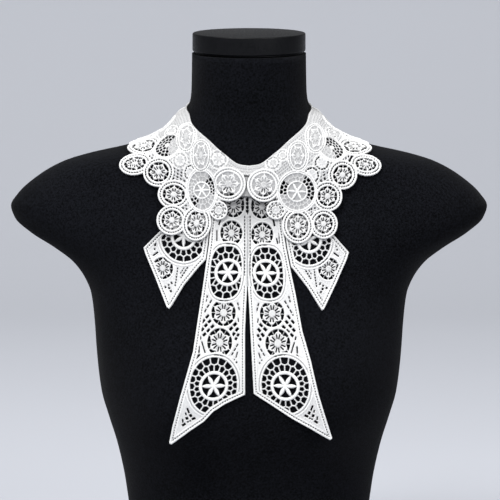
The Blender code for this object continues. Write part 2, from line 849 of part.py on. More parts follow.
def collar_half(name, side, rows):
    """One half of the collar, cut along its rounds. side is -1 on the left."""
    place = fall_place
    turn = math.radians(1.0) * MID_RADIUS
    table = list(BACK_ROUNDS) + list(rows)
    rounds = [Round(place, (side * a * turn, out * MM), w * MM, h * MM, side * t)
              for a, out, w, h, t in table]
    centre = CENTRE_FRONT * turn + side * SEAM / 2
    back = side * BACK_OPENING * turn
    low, high = min(centre, back), max(centre, back)
    us = np.arange(low - 3 * MM, high + 3 * MM, OUTLINE_GRID)
    vs = np.arange(-2 * MM, COLLAR_REACH, OUTLINE_GRID)
    u, v = np.meshgrid(us, vs, indexing="ij")
    uv = np.stack([u.ravel(), v.ravel()], 1)
    level = ground_edge(np.abs(uv[:, 0]) / turn) * MM - uv[:, 1]
    for motif in rounds:
        level = np.maximum(level, motif.inside(uv))
    for limit in (uv[:, 1], uv[:, 0] - low, high - uv[:, 0]):
        level = np.minimum(level, limit)
    outline = trace(level.reshape(u.shape), us, vs)
    outline = split_long(thin_loop(outline, OUTLINE_SLACK), NECK_PITCH)
    relief = Relief()
    relief.roll = True
    points = np.zeros((0, 2))
    for motif in rounds:
        own = round_points(motif, (RING_INSET, RING_INSET + RING_HALF, min(motif.half) * STAR_SHARE))
        points = points[motif.share(points) > 1.03] if len(points) else points
        points = np.concatenate([points, own])
        relief.ring(motif, RING_INSET)
    neck = np.array([(a, r) for r in NECK_ROWS
                     for a in np.arange(low + NECK_PITCH / 2, high, NECK_PITCH)])
    plain = scatter([outline], OUTER_PITCH, POINT_CLEAR * 2)
    for motif in rounds:
        plain = plain[motif.share(plain) > 1.1]
    points = spaced(np.concatenate([points, neck, plain]), 1.6 * MM, outline)
    points = points[inside_loops(points, [outline])]
    points = points[edge_distance(points, [outline]) > POINT_CLEAR]
    inner = np.concatenate([neck, scatter([outline], INNER_PITCH, POINT_CLEAR * 3)])
    inner = spaced(inner, 3.5 * MM, outline)
    inner = inner[inside_loops(inner, [outline]) & (edge_distance(inner, [outline]) > POINT_CLEAR)]
    return cloth_wall(name, place, [outline], points, inner, WALL, relief, WHITE_LACE)


def under_collar():
    """The plain inner ply of the collar, all round the neck but for the opening behind."""
    turn = math.radians(1.0) * MID_RADIUS
    angles = np.linspace(-UNDER_OPENING, UNDER_OPENING, UNDER_COLUMNS)
    rows = np.linspace(0, 1, UNDER_ROWS) ** 1.2
    lower = under_edge(np.abs(angles)) * MM
    uv = np.array([(a * turn, UNDER_START + (e - UNDER_START) * r)
                   for a, e in zip(angles, lower) for r in rows])
    top = under_place(uv, np.full(len(uv), UNDER_WALL))
    low = under_place(uv, np.zeros(len(uv)))
    n = UNDER_ROWS
    m = UNDER_COLUMNS
    count = len(uv)
    faces = []
    for i in range(m - 1):
        for j in range(n - 1):
            quad = (i * n + j, (i + 1) * n + j, (i + 1) * n + j + 1, i * n + j + 1)
            faces.append(quad)
            faces.append(tuple(k + count for k in quad[::-1]))
    rim = [i * n for i in range(m)] + [(m - 1) * n + j for j in range(1, n)]
    rim += [i * n + n - 1 for i in range(m - 2, -1, -1)] + [j for j in range(n - 2, 0, -1)]
    for a, b in zip(rim, rim[1:] + rim[:1]):
        faces.append((a, a + count, b + count, b))
    return make_object("under_collar", np.concatenate([top, low]), faces, WHITE_UNDER)


def wheel_holes(row, outline):
    """Cut-through cells of a net wheel that lie clear of the cloth's edge."""
    x, z, rx, rz, hub, cells = row
    centre = np.array([x, z]) * MM
    holes = []
    for k in range(HUB_GAPS):
        t = math.radians(90 + k * 360 / HUB_GAPS)
        h = math.radians(HUB_GAP_HALF_ANGLE)
        spots = ((HUB_GAP_INNER, 0), (HUB_GAP_OUTER, -h), (HUB_GAP_OUTER * 1.02, 0), (HUB_GAP_OUTER, h))
        holes.append(np.array([(math.cos(t + d), math.sin(t + d)) for _, d in spots])
                     * (np.array([s for s, _ in spots]) * hub * MM)[:, None] + centre)
    inner = hub * MM + HUB_RING
    for k in range(cells):
        t = math.radians(90) + (k + 0.5) * 2 * math.pi / cells
        reach = MM / math.hypot(math.cos(t) / rx, math.sin(t) / rz)
        depth = (reach - inner) * CELL_DEPTH
        if depth < CELL_LEAST:
            continue
        h = math.pi / cells * CELL_SHARE
        near = reach - depth
        middle = near + depth * (1 - CELL_SHOULDER)
        spots = ((near, 0), (middle, -h), (reach, -h * 0.9), (reach, h * 0.9), (middle, h))
        cell = np.array([(r * math.cos(t + d), r * math.sin(t + d)) for r, d in spots]) + centre
        holes.append(cell)
    kept = []
    for hole in holes:
        if inside_loops(hole, [outline]).all() and edge_distance(hole, [outline]).min() > CELL_CLEAR:
            kept.append(hole)
    return kept


def inset_points(outline, inset, pitch):
    """Points that follow a closed outline inside it."""
    out = []
    for a, b in zip(outline, np.roll(outline, -1, 0)):
        d = b - a
        size = np.hypot(*d)
        n = max(1, int(round(size / pitch)))
        side = np.array([-d[1], d[0]]) / size
        for k in range(n):
            at = a + d * (k + 0.5) / n
            out += [at + side * inset, at - side * inset]
    out = np.array(out)
    keep = inside_loops(out, [outline]) & (edge_distance(out, [outline]) > inset * 0.9)
    return out[keep]


def fall_panel(name, rows, flowers, wheels, lift):
    """A flat panel that hangs down the front: a tail or a tab."""
    def place(uv, off):
        return front_place(uv, np.asarray(off) + (lift - TAIL_LIFT))

    outline = split_long(np.array(rows) * MM, EDGE_STEP)
    holes = []
    relief = Relief()
    relief.edge = outline
    relief.plain_above = True
    rounds = []
    for x, z, rx, rz in flowers:
        motif = Round(place, (x * MM, z * MM), rx * MM, rz * MM)
        relief.ring(motif, RING_INSET - 0.7 * MM)
        rounds.append(round_points(motif, (RING_INSET - 0.7 * MM, RING_INSET + 1.4 * MM,
                                           min(motif.half) * STAR_SHARE)))
    for row in wheels:
        holes += wheel_holes(row, outline)
        x, z, rx, rz, hub, _ = row
        rim = Round(place, (x * MM, z * MM), rx * MM, rz * MM)
        ring = Round(place, (x * MM, z * MM), hub * MM, hub * MM)
        relief.ring(rim, -1.6 * MM, 1.4 * MM, False)
        relief.ring(ring, -HUB_RING / 2, 1.4 * MM, True)
        rounds.append(rim.loop(-1.6 * MM, 22))
        rounds.append(ring.loop(-HUB_RING / 2, 16))
        rounds.append(ring.middle)
    loops = [outline] + holes
    cord = inset_points(outline, EDGE_CORD_IN, EDGE_STEP)
    ditch = inset_points(outline, EDGE_CORD_IN * 2, EDGE_STEP * 1.4)
    plain = scatter([outline], OUTER_PITCH, POINT_CLEAR)
    points = spaced(np.concatenate(rounds + [cord, ditch, plain]), 1.7 * MM, np.concatenate(loops))
    points = points[inside_loops(points, loops) & (edge_distance(points, loops) > POINT_CLEAR * 0.7)]
    inner = scatter(loops, INNER_PITCH, POINT_CLEAR * 2)
    return cloth_wall(name, place, loops, points, inner, WALL, relief, WHITE_LACE)


def dress_form():
    """The form as a loft through its sections, flat under its base and on its neck."""
    heights = [row[0] for row in FORM_SECTIONS if not HOLLOW_FROM < row[0] < HOLLOW_TO]
    heights = np.sort(np.concatenate([heights, np.linspace(HOLLOW_FROM, HOLLOW_TO, HOLLOW_LEVELS)]))
    angles = np.arange(FORM_SIDES) * 2 * math.pi / FORM_SIDES
    verts = []
    for z in heights:
        c = np.cos(angles)
        s = np.sin(angles)
        depth = np.where(s < 0, front_depth(z), back_depth(z))
        x = half_width(z) * np.sign(c) * np.abs(c) ** (2 / SQUARENESS)
        y = depth * np.sign(s) * np.abs(s) ** (2 / SQUARENESS)
        y = y - np.where(s < 0, bust(x, z) * np.clip(-s * 3, 0, 1), 0.0)
        verts += [(px, py, z) for px, py in zip(x, y)]
    n = FORM_SIDES
    faces = []
    for k in range(len(heights) - 1):
        for i in range(n):
            j = (i + 1) % n
            faces.append((k * n + i, k * n + j, (k + 1) * n + j, (k + 1) * n + i))
    faces.append(tuple(range(n - 1, -1, -1)))
    top = (len(heights) - 1) * n
    faces.append(tuple(top + i for i in range(n)))
    return make_object("dress_form", verts, faces, BLACK_CLOTH)


def turned(name, profile, sides, location, material):
    """A turned solid from a half profile that runs down its outer side."""
    mesh = bpy.data.meshes.new(name)
    mesh.from_pydata([(r, 0.0, z) for r, z in profile], [(i, i + 1) for i in range(len(profile) - 1)], [])
    obj = bpy.data.objects.new(name, mesh)
    COLLECTION.objects.link(obj)
    obj.location = location
    screw = obj.modifiers.new("turn", "SCREW")
    screw.steps = sides
    screw.render_steps = sides
    screw.use_merge_vertices = True
    screw.merge_threshold = 0.00005
    mesh.materials.append(paint(*material))
    return obj


def neck_cap():
    """The lid of the neck: a disc with an eased edge over a narrower foot."""
    r = CAP_RADIUS
    foot = NECK_TOP + CAP_GAP
    under = foot + CAP_FOOT
    profile = ((0.0, CAP_TOP), (r - 3 * CAP_EDGE, CAP_TOP), (r - CAP_EDGE, CAP_TOP - 0.3 * CAP_EDGE),
               (r - 0.3 * CAP_EDGE, CAP_TOP - CAP_EDGE), (r, CAP_TOP - 3 * CAP_EDGE),
               (r, under + CAP_EDGE), (r - 0.3 * CAP_EDGE, under),
               (r - CAP_FOOT_INSET, under), (r - CAP_FOOT_INSET, foot), (0.0, foot))
    cap = turned("neck_cap", profile, CAP_SIDES, (0.0, CAP_CENTRE_Y, 0.0), BLACK_CAP)
    cap.scale = (1.0, CAP_DEPTH_RATIO, 1.0)
    return cap


def button_and_loop():
    """A small round button on one edge of the opening, in a loop from the other edge."""
    turn = math.radians(1.0) * MID_RADIUS
    seat = np.array([[BUTTON_ANGLE * turn, BUTTON_OUT]])
    face = np.array([WALL + SEAM])
    foot = fall_place(seat, face)[0]
    over = fall_place(seat + [[0.5 * MM, 0.0]], face)[0] - foot
    down = fall_place(seat + [[0.0, 0.5 * MM]], face)[0] - foot
    out = unit(np.cross(over, down))
    out = out * np.sign(out[1])
    across = unit(over)
    frame = Matrix(np.stack([across, np.cross(out, across), out], 1).tolist()).to_4x4()
    frame.translation = foot
    lid = SHANK_HEIGHT + BUTTON_THICK
    r = BUTTON_RADIUS
    profile = ((0.0, lid - 0.5 * MM), (r - 2.0 * MM, lid - 0.4 * MM), (r - 1.3 * MM, lid),
               (r - 0.5 * MM, lid), (r, lid - 0.8 * MM), (r - 0.4 * MM, lid - 1.8 * MM),
               (SHANK_RADIUS, SHANK_HEIGHT), (SHANK_RADIUS, 0.0), (0.0, 0.0))
    button = turned("back_button", profile, BUTTON_SIDES, (0.0, 0.0, 0.0), PEARL)
    button.matrix_world = frame
    reach = (LOOP_FOOT_ANGLE - BUTTON_ANGLE) * turn
    spots = [(reach, -LOOP_RADIUS * 0.5), (reach * 0.55, -LOOP_RADIUS * 0.9)]
    widen = 0.5 * MM / np.linalg.norm(over)
    spots += [(-LOOP_RADIUS * widen * math.sin(a), -LOOP_RADIUS * math.cos(a))
              for a in np.linspace(0, math.pi, 11)]
    spots += [(reach * 0.55, LOOP_RADIUS * 0.9), (reach, LOOP_RADIUS * 0.5)]
    route = fall_place(seat + np.array(spots), np.full(len(spots), WALL + LOOP_LIFT))
    curve = bpy.data.curves.new("button_loop", "CURVE")
    curve.dimensions = "3D"
    curve.bevel_depth = LOOP_THREAD
    curve.bevel_resolution = 2
    curve.use_fill_caps = True
    spline = curve.splines.new("POLY")
    spline.points.add(len(route) - 1)
    for point, at in zip(spline.points, route):
        point.co = (*at, 1.0)
    loop = bpy.data.objects.new("button_loop", curve)
    COLLECTION.objects.link(loop)
    curve.materials.append(paint(*WHITE_LACE))


for old in list(bpy.data.objects):
    bpy.data.objects.remove(old, do_unlink=True)
COLLECTION = bpy.data.collections.new("lace_jabot")
bpy.context.scene.collection.children.link(COLLECTION)

dress_form()
neck_cap()
collar_half("collar_left", -1, LEFT_ROUNDS)
collar_half("collar_right", 1, RIGHT_ROUNDS)
under_collar()
fall_panel("tail_left", LEFT_TAIL, LEFT_FLOWERS, LEFT_WHEELS, TAIL_LIFT)
fall_panel("tail_right", RIGHT_TAIL, RIGHT_FLOWERS, RIGHT_WHEELS, TAIL_LIFT)
fall_panel("tab_left", LEFT_TAB, LEFT_TAB_FLOWER, LEFT_TAB_WHEEL, TAB_LIFT)
fall_panel("tab_right", RIGHT_TAB, RIGHT_TAB_FLOWER, RIGHT_TAB_WHEEL, TAB_LIFT)
button_and_loop()
for piece in COLLECTION.objects:
    piece.location.y += SET_BACK
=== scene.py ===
"""Lace jabot with a scalloped collar on a black dress form, dressed for its picture.

Metres, +Z up, the front faces -Y. Patterns of the lace are laid out in millimetres.
"""
import math

import bpy
import numpy as np
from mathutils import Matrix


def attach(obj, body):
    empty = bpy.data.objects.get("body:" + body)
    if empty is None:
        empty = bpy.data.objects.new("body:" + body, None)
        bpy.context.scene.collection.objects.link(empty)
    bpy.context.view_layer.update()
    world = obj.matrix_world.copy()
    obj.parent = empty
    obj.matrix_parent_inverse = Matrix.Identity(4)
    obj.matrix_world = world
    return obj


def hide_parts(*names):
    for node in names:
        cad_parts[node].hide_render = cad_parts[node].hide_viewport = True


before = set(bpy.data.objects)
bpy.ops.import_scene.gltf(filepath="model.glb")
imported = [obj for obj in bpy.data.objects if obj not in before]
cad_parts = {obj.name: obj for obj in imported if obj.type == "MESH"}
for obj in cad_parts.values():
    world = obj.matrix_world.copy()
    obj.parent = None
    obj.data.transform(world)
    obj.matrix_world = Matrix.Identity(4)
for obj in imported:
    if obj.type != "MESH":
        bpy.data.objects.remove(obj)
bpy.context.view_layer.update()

MM = 0.001
TURN = 2 * math.pi


def mirrored(rows, across, up):
    """The same slits on the other side, moved across and up."""
    return tuple((across - a, b + up, across - c, d + up, half, pitch) for a, b, c, d, half, pitch in rows)


# Dress form: height, half width, depth of the front and of the back
FORM_SECTIONS = (
    (0.000, 0.1160, 0.088, 0.086),
    (0.030, 0.1110, 0.083, 0.080),
    (0.065, 0.1100, 0.080, 0.075),
    (0.110, 0.1145, 0.083, 0.073),
    (0.150, 0.1225, 0.091, 0.077),
    (0.175, 0.1300, 0.097, 0.081),
    (0.200, 0.1370, 0.100, 0.087),
    (0.235, 0.1410, 0.099, 0.094),
    (0.265, 0.1430, 0.094, 0.098),
    (0.290, 0.1460, 0.088, 0.100),
    (0.305, 0.1520, 0.085, 0.100),
    (0.320, 0.1630, 0.082, 0.099),
    (0.333, 0.1800, 0.079, 0.098),
    (0.347, 0.2020, 0.075, 0.096),
    (0.360, 0.2160, 0.071, 0.093),
    (0.371, 0.2195, 0.067, 0.090),
    (0.3815, 0.2133, 0.0641, 0.0862),
    (0.3971, 0.1960, 0.0594, 0.0802),
    (0.4113, 0.1710, 0.0560, 0.0742),
    (0.4182, 0.1480, 0.0545, 0.0709),
    (0.4240, 0.1210, 0.0532, 0.0676),
    (0.4301, 0.0980, 0.0523, 0.0638),
    (0.4386, 0.0800, 0.0512, 0.0591),
    (0.4486, 0.0660, 0.0510, 0.0554),
    (0.4595, 0.0570, 0.0510, 0.0531),
    (0.475, 0.0530, 0.052, 0.051),
    (0.5115, 0.0522, 0.054, 0.048),
)
SQUARENESS = 2.2
BUST_ACROSS = 0.074
BUST_HEIGHT = 0.200
BUST_HALF_WIDTH = 0.040
BUST_ABOVE = 0.057
BUST_BELOW = 0.036
BUST_OUT = 0.024
NECK_TOP = 0.5115
SET_BACK = 9.0 * MM

# Neck edge of the collar: angle from the front in degrees, height
NECK_EDGE = (
    (0, 0.4145), (8, 0.4155), (25, 0.4265), (40, 0.4390), (55, 0.4490), (70, 0.4585),
    (90, 0.4620), (125, 0.4660), (180, 0.4700),
)
LOWEST_COLLAR = 0.240
COLLAR_RAYS = 500
COLLAR_TURN = 185.0
COLLAR_STEP = 0.5 * MM
COLLAR_REACH = 0.108
MID_RADIUS = 0.085
DEGREE = math.radians(1.0) * MID_RADIUS
CENTRE_FRONT = -2.6
BACK_OPENING = 177.6
SEAM = 0.30 * MM

# How far the collar stands off the form: angle, near the neck, towards its edge
COLLAR_LIFT = (
    (0, 5.2 * MM, 3.4 * MM, 34 * MM),
    (52, 5.4 * MM, 3.4 * MM, 34 * MM),
    (72, 5.0 * MM, 1.4 * MM, 20 * MM),
    (90, 4.6 * MM, 1.1 * MM, 10 * MM),
    (115, 4.8 * MM, 1.1 * MM, 10 * MM),
    (180, 4.6 * MM, 0.9 * MM, 20 * MM),
)
EDGE_LIFT = 0.7 * MM
LIFT_RISE = 13 * MM
LIFT_FALL = 26 * MM

# Collar motifs: angle, distance from the neck edge, half width and half length in mm,
# turn in degrees, and what fills it
LEFT_ROUNDS = (
    (75.0, 54.0, 19.5, 14.4, 10, "star"),
    (66.4, 70.0, 15.0, 11.4, 40, "star"),
    (57.4, 56.4, 14.5, 13.8, 15, "star"),
    (48.6, 64.0, 14.8, 13.4, 10, "star"),
    (46.2, 85.5, 14.0, 13.9, 0, "star"),
    (34.3, 75.6, 13.3, 16.2, 6, "bloom"),
    (22.5, 52.3, 8.2, 8.7, 0, "rosette"),
    (17.3, 23.8, 15.8, 15.9, 0, "bloom"),
    (35.2, 45.9, 14.8, 20.8, 16, "net"),
    (60.8, 35.2, 15.2, 14.8, -14, "mesh"),
    (53.5, 13.2, 9.8, 16.4, 26, "oval"),
    (39.8, 18.2, 9.8, 15.9, 13, "oval"),
    (27.0, 8.8, 9.2, 9.8, 0, "bud"),
    (50.4, 34.6, 7.6, 8.5, 20, "bud"),
    (44.1, 37.8, 6.2, 8.2, 0, "bud"),
    (66.5, 24.4, 9.6, 7.4, 0, "bud"),
)
RIGHT_ROUNDS = (
    (74.4, 55.2, 19.5, 13.8, 16, "star"),
    (67, 72.8, 14.6, 11.1, 38, "star"),
    (58.1, 60.5, 14.0, 13.4, -30, "star"),
    (49.7, 67.1, 13.6, 14.0, 20, "star"),
    (44.6, 87.2, 13.0, 13.8, 20, "star"),
    (32.0, 75.5, 14.3, 16.2, 8, "bloom"),
    (20.2, 50.0, 8.8, 8.6, 0, "rosette"),
    (12.5, 21.5, 15.2, 15.5, 0, "bloom"),
    (35.6, 47.3, 18.8, 19.8, 14, "net"),
    (60.3, 37.2, 14.8, 14.4, -28, "mesh"),
    (55.5, 17.0, 10.3, 16.6, 34, "oval"),
    (40.3, 19.1, 10.1, 14.7, 14, "oval"),
    (21.4, 7.6, 7.8, 7.8, 0, "bud"),
    (51.7, 38.6, 8.1, 8.1, 0, "bud"),
    (45.4, 42.0, 8.3, 9.0, 14, "bud"),
    (70.0, 29.6, 9.0, 7.0, 0, "bud"),
    (29.8, 7.6, 6.4, 6.6, 0, "bud"),
)
BACK_ROUNDS = (
    (86, 52.0, 13.6, 14.0, 0, "star"),
    (102, 49.5, 13.6, 13.8, 0, "star"),
    (118, 47.5, 13.6, 13.6, 0, "star"),
    (134, 46.0, 13.6, 13.4, 0, "star"),
    (150, 45.0, 13.4, 13.4, 0, "star"),
    (166, 44.5, 13.4, 13.4, 0, "star"),
    (84, 24.0, 10.5, 11.0, 0, "mesh"),
    (110, 22.0, 12.5, 12.5, 0, "oval"),
    (141, 20.0, 12.5, 12.0, 0, "star"),
    (168, 19.0, 11.0, 12.0, 0, "oval"),
)
# Filled ground between the motifs: angle, distance from the neck edge in mm
GROUND = (
    (0, 9.5), (9, 10.0), (16, 24.0), (20, 37.0), (23, 48.0), (26, 58.0), (30, 64.0),
    (36, 75.0), (42, 73.0), (46, 72.5), (52, 59.5), (58, 56.0), (64, 56.0), (72, 48.0),
    (80, 44.0), (180, 38.0),
)

# Under collar: angle, distance of its lower edge in mm
UNDER_EDGE = (
    (0, 29.0), (22, 30.0), (40, 30.0), (58, 27.0), (90, 26.0), (180, 26.0),
)
UNDER_START = 5.5 * MM
UNDER_LIFT = 0.75 * MM
UNDER_OVER_TAILS = 2.5 * MM
UNDER_OPENING = 176.5
UNDER_DEEP = 32.0
# Where it rises over the tops of the tails: angle and fade in degrees, and over what distance
UNDER_RISE = (30, 16, 8 * MM)

# The grid of the front: across and height, its step, and how widely it is bridged and softened
# in steps
FRONT_ACROSS = (-0.120, 0.1205)
FRONT_UP = (0.100, 0.4305)
FRONT_STEP = 0.001
BRIDGE = 6.0
SOFTEN = 2.0

# Tails, seen from the front: across and height in mm, down the outer edge
# to the tip and up the inner edge
LEFT_TAIL = (
    (-22.5, 399.0), (-33.4, 372.0), (-34.6, 363.0), (-36.2, 345.0), (-38.2, 332.0),
    (-43.2, 298.0), (-50.4, 252.0), (-61.8, 212.5), (-68.5, 186.0), (-71.5, 170.5),
    (-69.6, 169.0), (-53.0, 182.0), (-40.5, 190.5), (-32.5, 199.0), (-22.0, 205.5),
    (-3.4, 213.8), (-3.5, 268.0), (-2.6, 288.0), (-1.6, 307.0), (-1.6, 399.0),
)
RIGHT_TAIL = (
    (20.0, 399.0), (29.6, 372.0), (31.4, 357.0), (33.4, 342.5), (37.0, 325.0),
    (42.0, 302.0), (48.0, 270.0), (55.7, 244.0), (62.4, 215.0), (71.0, 186.0),
    (74.5, 174.5), (72.4, 173.0), (55.0, 184.0), (38.7, 193.0), (22.0, 203.5),
    (4.2, 214.5), (1.2, 268.0), (0.2, 288.0), (-1.0, 307.0), (-1.0, 399.0),
)
# Flowers of a tail or a tab: across, height, half width, half height in mm, petals
LEFT_FLOWERS = (
    (-14.0, 379.4, 11.7, 12.6, 6),
    (-15.9, 355.0, 11.7, 12.6, 6),
    (-22.9, 285.4, 12.8, 13.4, 6),
    (-26.4, 259.8, 13.0, 14.2, 6),
)
RIGHT_FLOWERS = (
    (11.7, 378.3, 11.7, 12.6, 6),
    (11.9, 353.6, 11.7, 12.3, 6),
    (20.8, 284.6, 12.8, 13.4, 6),
    (26.0, 259.0, 13.0, 14.2, 6),
)
# Net wheels: across, height, half width and half height of the net, radius inside the
# hub's ring, all in mm, cells round, squareness, lean, and the hub's place across
LEFT_WHEELS = (
    (-20.7, 320.8, 13.9, 22.7, 9.2, 18, 2.8, 0.05, 1.7),
    (-31.9, 222.2, 21.0, 24.8, 10.2, 20, 2.1, 0.03, 0.0),
)
RIGHT_WHEELS = (
    (16.7, 320.2, 13.8, 22.2, 9.2, 18, 2.8, -0.06, -1.2),
    (32.6, 222.2, 21.0, 24.8, 10.2, 20, 2.1, -0.03, 0.0),
)
TAIL_LIFT = 0.7 * MM

# Tabs: across and height in mm, from the hidden top round the tip
LEFT_TAB = (
    (-34.2, 372.0), (-66.0, 368.0), (-82.0, 355.0), (-95.3, 341.5), (-93.5, 336.0),
    (-84.0, 314.0), (-74.0, 289.5), (-71.6, 287.8), (-68.5, 292.0), (-58.3, 309.0),
    (-46.5, 323.6), (-38.95, 331.8), (-36.95, 345.0), (-35.35, 363.0),
)
RIGHT_TAB = (
    (30.4, 372.0), (62.0, 368.0), (78.0, 351.5), (90.2, 337.5), (88.0, 331.0),
    (78.0, 309.0), (67.5, 288.0), (65.4, 286.6), (62.5, 291.0), (52.5, 307.0),
    (42.0, 320.5), (37.75, 325.6), (34.15, 342.7), (32.15, 357.2),
)
LEFT_TAB_WHEEL = ((-58.9, 351.8, 20.2, 21.8, 8.9, 18, 2.0, 0.0, 0.0),)
RIGHT_TAB_WHEEL = ((54.3, 348.8, 19.4, 21.6, 8.9, 18, 2.0, 0.0, 0.0),)
LEFT_TAB_FLOWER = ((-77.7, 323.7, 11.2, 11.6, 6),)
RIGHT_TAB_FLOWER = ((71.6, 323.4, 11.2, 11.6, 6),)

# Cloth thickness in mm: height of the edge, of the inner face and of the plain outer face
EDGE_HEIGHT = 0.35
CLOTH_LOW = 0.05
CLOTH_TOP = 0.85
EDGE_ROUND = 0.75
EDGE_SNAP = 0.12
# Cover in a gap, and of cloth laid without an edge of its own
VOID = 1.0
THIN = 1.0
FIRM = 2.0

# How far round a motif its places are looked for, as a share of it, and how far off its plane
# they may lie in mm
CLOTH_REACH = 1.5
FRONT_REACH = 1.6
FLAT_ENOUGH = 9.0

# Pitch of the meshes in mm, and how many places go round
FALL_PITCH = 0.45
COLLAR_PITCH_FRONT = 0.52
COLLAR_PITCH_BACK = 0.84
COLLAR_PITCH_DOWN = 0.56
UNDER_PITCH = 1.0
UNDER_ACROSS = 340
FORM_SIDES = 176
CAP_SIDES = 160
BUTTON_SIDES = 48
# Rings of the form: from and to height, and how many
FORM_RINGS = ((0.0, 0.27, 50), (0.27, 0.47, 90), (0.47, NECK_TOP, 8))

# Cords, rings and threads in mm
CORD_RISE = 1.0
SECOND_RISE = CORD_RISE * 0.9
SMALL_RISE = CORD_RISE * 0.8
THREAD_RISE = 0.45
THREAD_TWIST = 1.3
SATIN_PITCH = 0.42
RING_CORD = 1.0
RING_SHARE = 0.214
NET_RING = 3.2
DOT_LONG = 0.86
DOT_WIDE = 0.50
MIDDLE_CORD = 0.7
FLOWER_RING = 2.0
FLOWER_START = math.radians(88)
BAND_CORD = 0.92
BAND_WIDE = 4.5
BORDER_CORD = 1.0
BORDER_SECOND = BORDER_CORD * 0.9
BORDER_SECOND_RISE = CORD_RISE * 0.85
BORDER_GROOVE = 2.45
BORDER_WIDE = 4.7
BORDER_PITCH = 2.4
BORDER_DOT_LONG = 0.60
BORDER_DOT_WIDE = 0.32
DASH_SHARE = 0.34
ROLL_WIDE = 1.9
ROLL_RISE = 0.7
END_CORD = 0.9
END_WIDE = 2.4

# Ground between the motifs: height, satin, pitch and half size of its pinholes in mm
GROUND_RISE = 0.38
GROUND_SATIN = 0.3
GROUND_PITCH = 2.7
GROUND_HOLE = 0.90
COLLAR_GROUND = 0.26
NECK_GROUND = 2.6
LATTICE_RISE = 0.25
LATTICE_PITCH = 2.7
LATTICE_HOLE = 0.66

# Net wheels: ring of the hub, thread and least room for two rows of cells in mm, and half the
# width of a petal as a share of the hub
TAIL_NET = (3.1, 0.68, 6.0, 0.155)
COLLAR_NET = (1.5, 0.46, 3.4, 0.115)
COLLAR_HUB = 0.44
COLLAR_CELLS = 21
COLLAR_START = math.radians(90)
WHEEL_PETALS = 6
WHEEL_REACH = 60.0
WHEEL_STEP = 0.1
# Place of the middles of the cells in the room between hub and rim: outer row, inner row, alone
OUTER_ROW = 0.74
INNER_ROW = 0.22
ONE_ROW = 0.5
PETAL_BLUNT = 0.8
PETAL_LEAST = 0.25
# How far a petal runs past the middle and into the ring in mm, and how much longer it is drawn
PETAL_ROOT = 0.4
PETAL_END = 0.8
PETAL_LONG = 0.3
# Room round a wheel for its band in mm
WHEEL_MARGIN = 4
# Small nets: for each ring its share of the oval and its cells, and the middle ring
MESH_ROWS = ((0.86, 17), (0.58, 12), (0.30, 6))
MESH_START = 0.3
MESH_HUB = 1.6

# Star flowers: the shape of their petals as shares of the star, and their bars and slits
STAR_RISE = 0.50
STAR_REACH = 1.2
STAR_SATIN = 0.6
STAR_DOME = 0.7
STAR_VALLEY = 0.66
STAR_TIP = 0.85
STAR_BULGE = 1.3
STAR_CORD = 0.55
STAR_CORD_RISE = STAR_RISE * 1.6
STAR_MIDDLE = 0.26
STAR_STITCH = 5.0
GAP_BAR = 0.34
TIP_BAR = 0.48
SLIT_MIDDLE = 0.48
SLIT_LONG = 0.18
SLIT_HALF = 0.050
SLIT_APART = 0.20
VALLEY_GROOVE = 1.1
# Stars of the collar: width of the ring in mm, petals, valley, bulge, slits, pitch of the dashes
COLLAR_STARS = {
    "star": (4.9, 6, STAR_VALLEY, STAR_BULGE, True, 2.8),
    "bloom": (4.9, 6, 0.50, 0.6, True, 2.8),
    "oval": (3.6, 6, STAR_VALLEY, STAR_BULGE, True, 2.8),
    "bud": (1.7, 7, 0.74, STAR_BULGE, False, 0.0),
}
BUD_START = 0.3
# Rosettes: place of the row of pinholes, its pitch, size and petals of the star in the middle
ROSETTE_ROW = 0.74
ROSETTE_PITCH = 3.8
ROSETTE_DOT = DOT_WIDE * 1.1
ROSETTE_MIDDLE = 0.58
ROSETTE_PETALS = 8

# Cloth in painted shade behind the motifs of the collar, and the spans left open on the left side (-1)
# and on the right side (1), in degrees
BEHIND_RISE = -0.35
BEHIND_SHADE = 0.50
GROUND_SHADE = 0.70
NECK_SHADE = 0.30
NECK_LOW = 0.45
NECK_CLOTH = 36.0
MESH_CLOTH = 35.0
BLOOM_CLOTH = 30.0
MESH_SHADE = 0.35
OVAL_SHADE = 0.62
BLOOM_SHADE = 0.66
BARE_WHEEL = {-1: ((-60, 22), (112, 150)), 1: ((-64, 30), (165, 218))}
BARE_MESH = {-1: ((20, 255),), 1: ((-95, 140),)}
BARE_BLOOM = ((50, 130),)
GROOVE_SHADE = 0.45
GROOVE_LOW = 0.12

# The tops of the tails and tabs lie in the collar's shade: how much, from what height and
# over what height in mm
TAIL_SHADE = (0.8, 342.0, 42.0)
TAB_SHADE = (0.6, 334.0, 24.0)

# Small square nets in the collar's ground: angle, distance, half sizes in mm, turn
LATTICES = (
    (49.6, 45.6, 6.4, 6.0, 8),
    (64.0, 55.0, 5.0, 3.6, 30),
    (43.5, 67.5, 4.4, 4.4, 20),
)

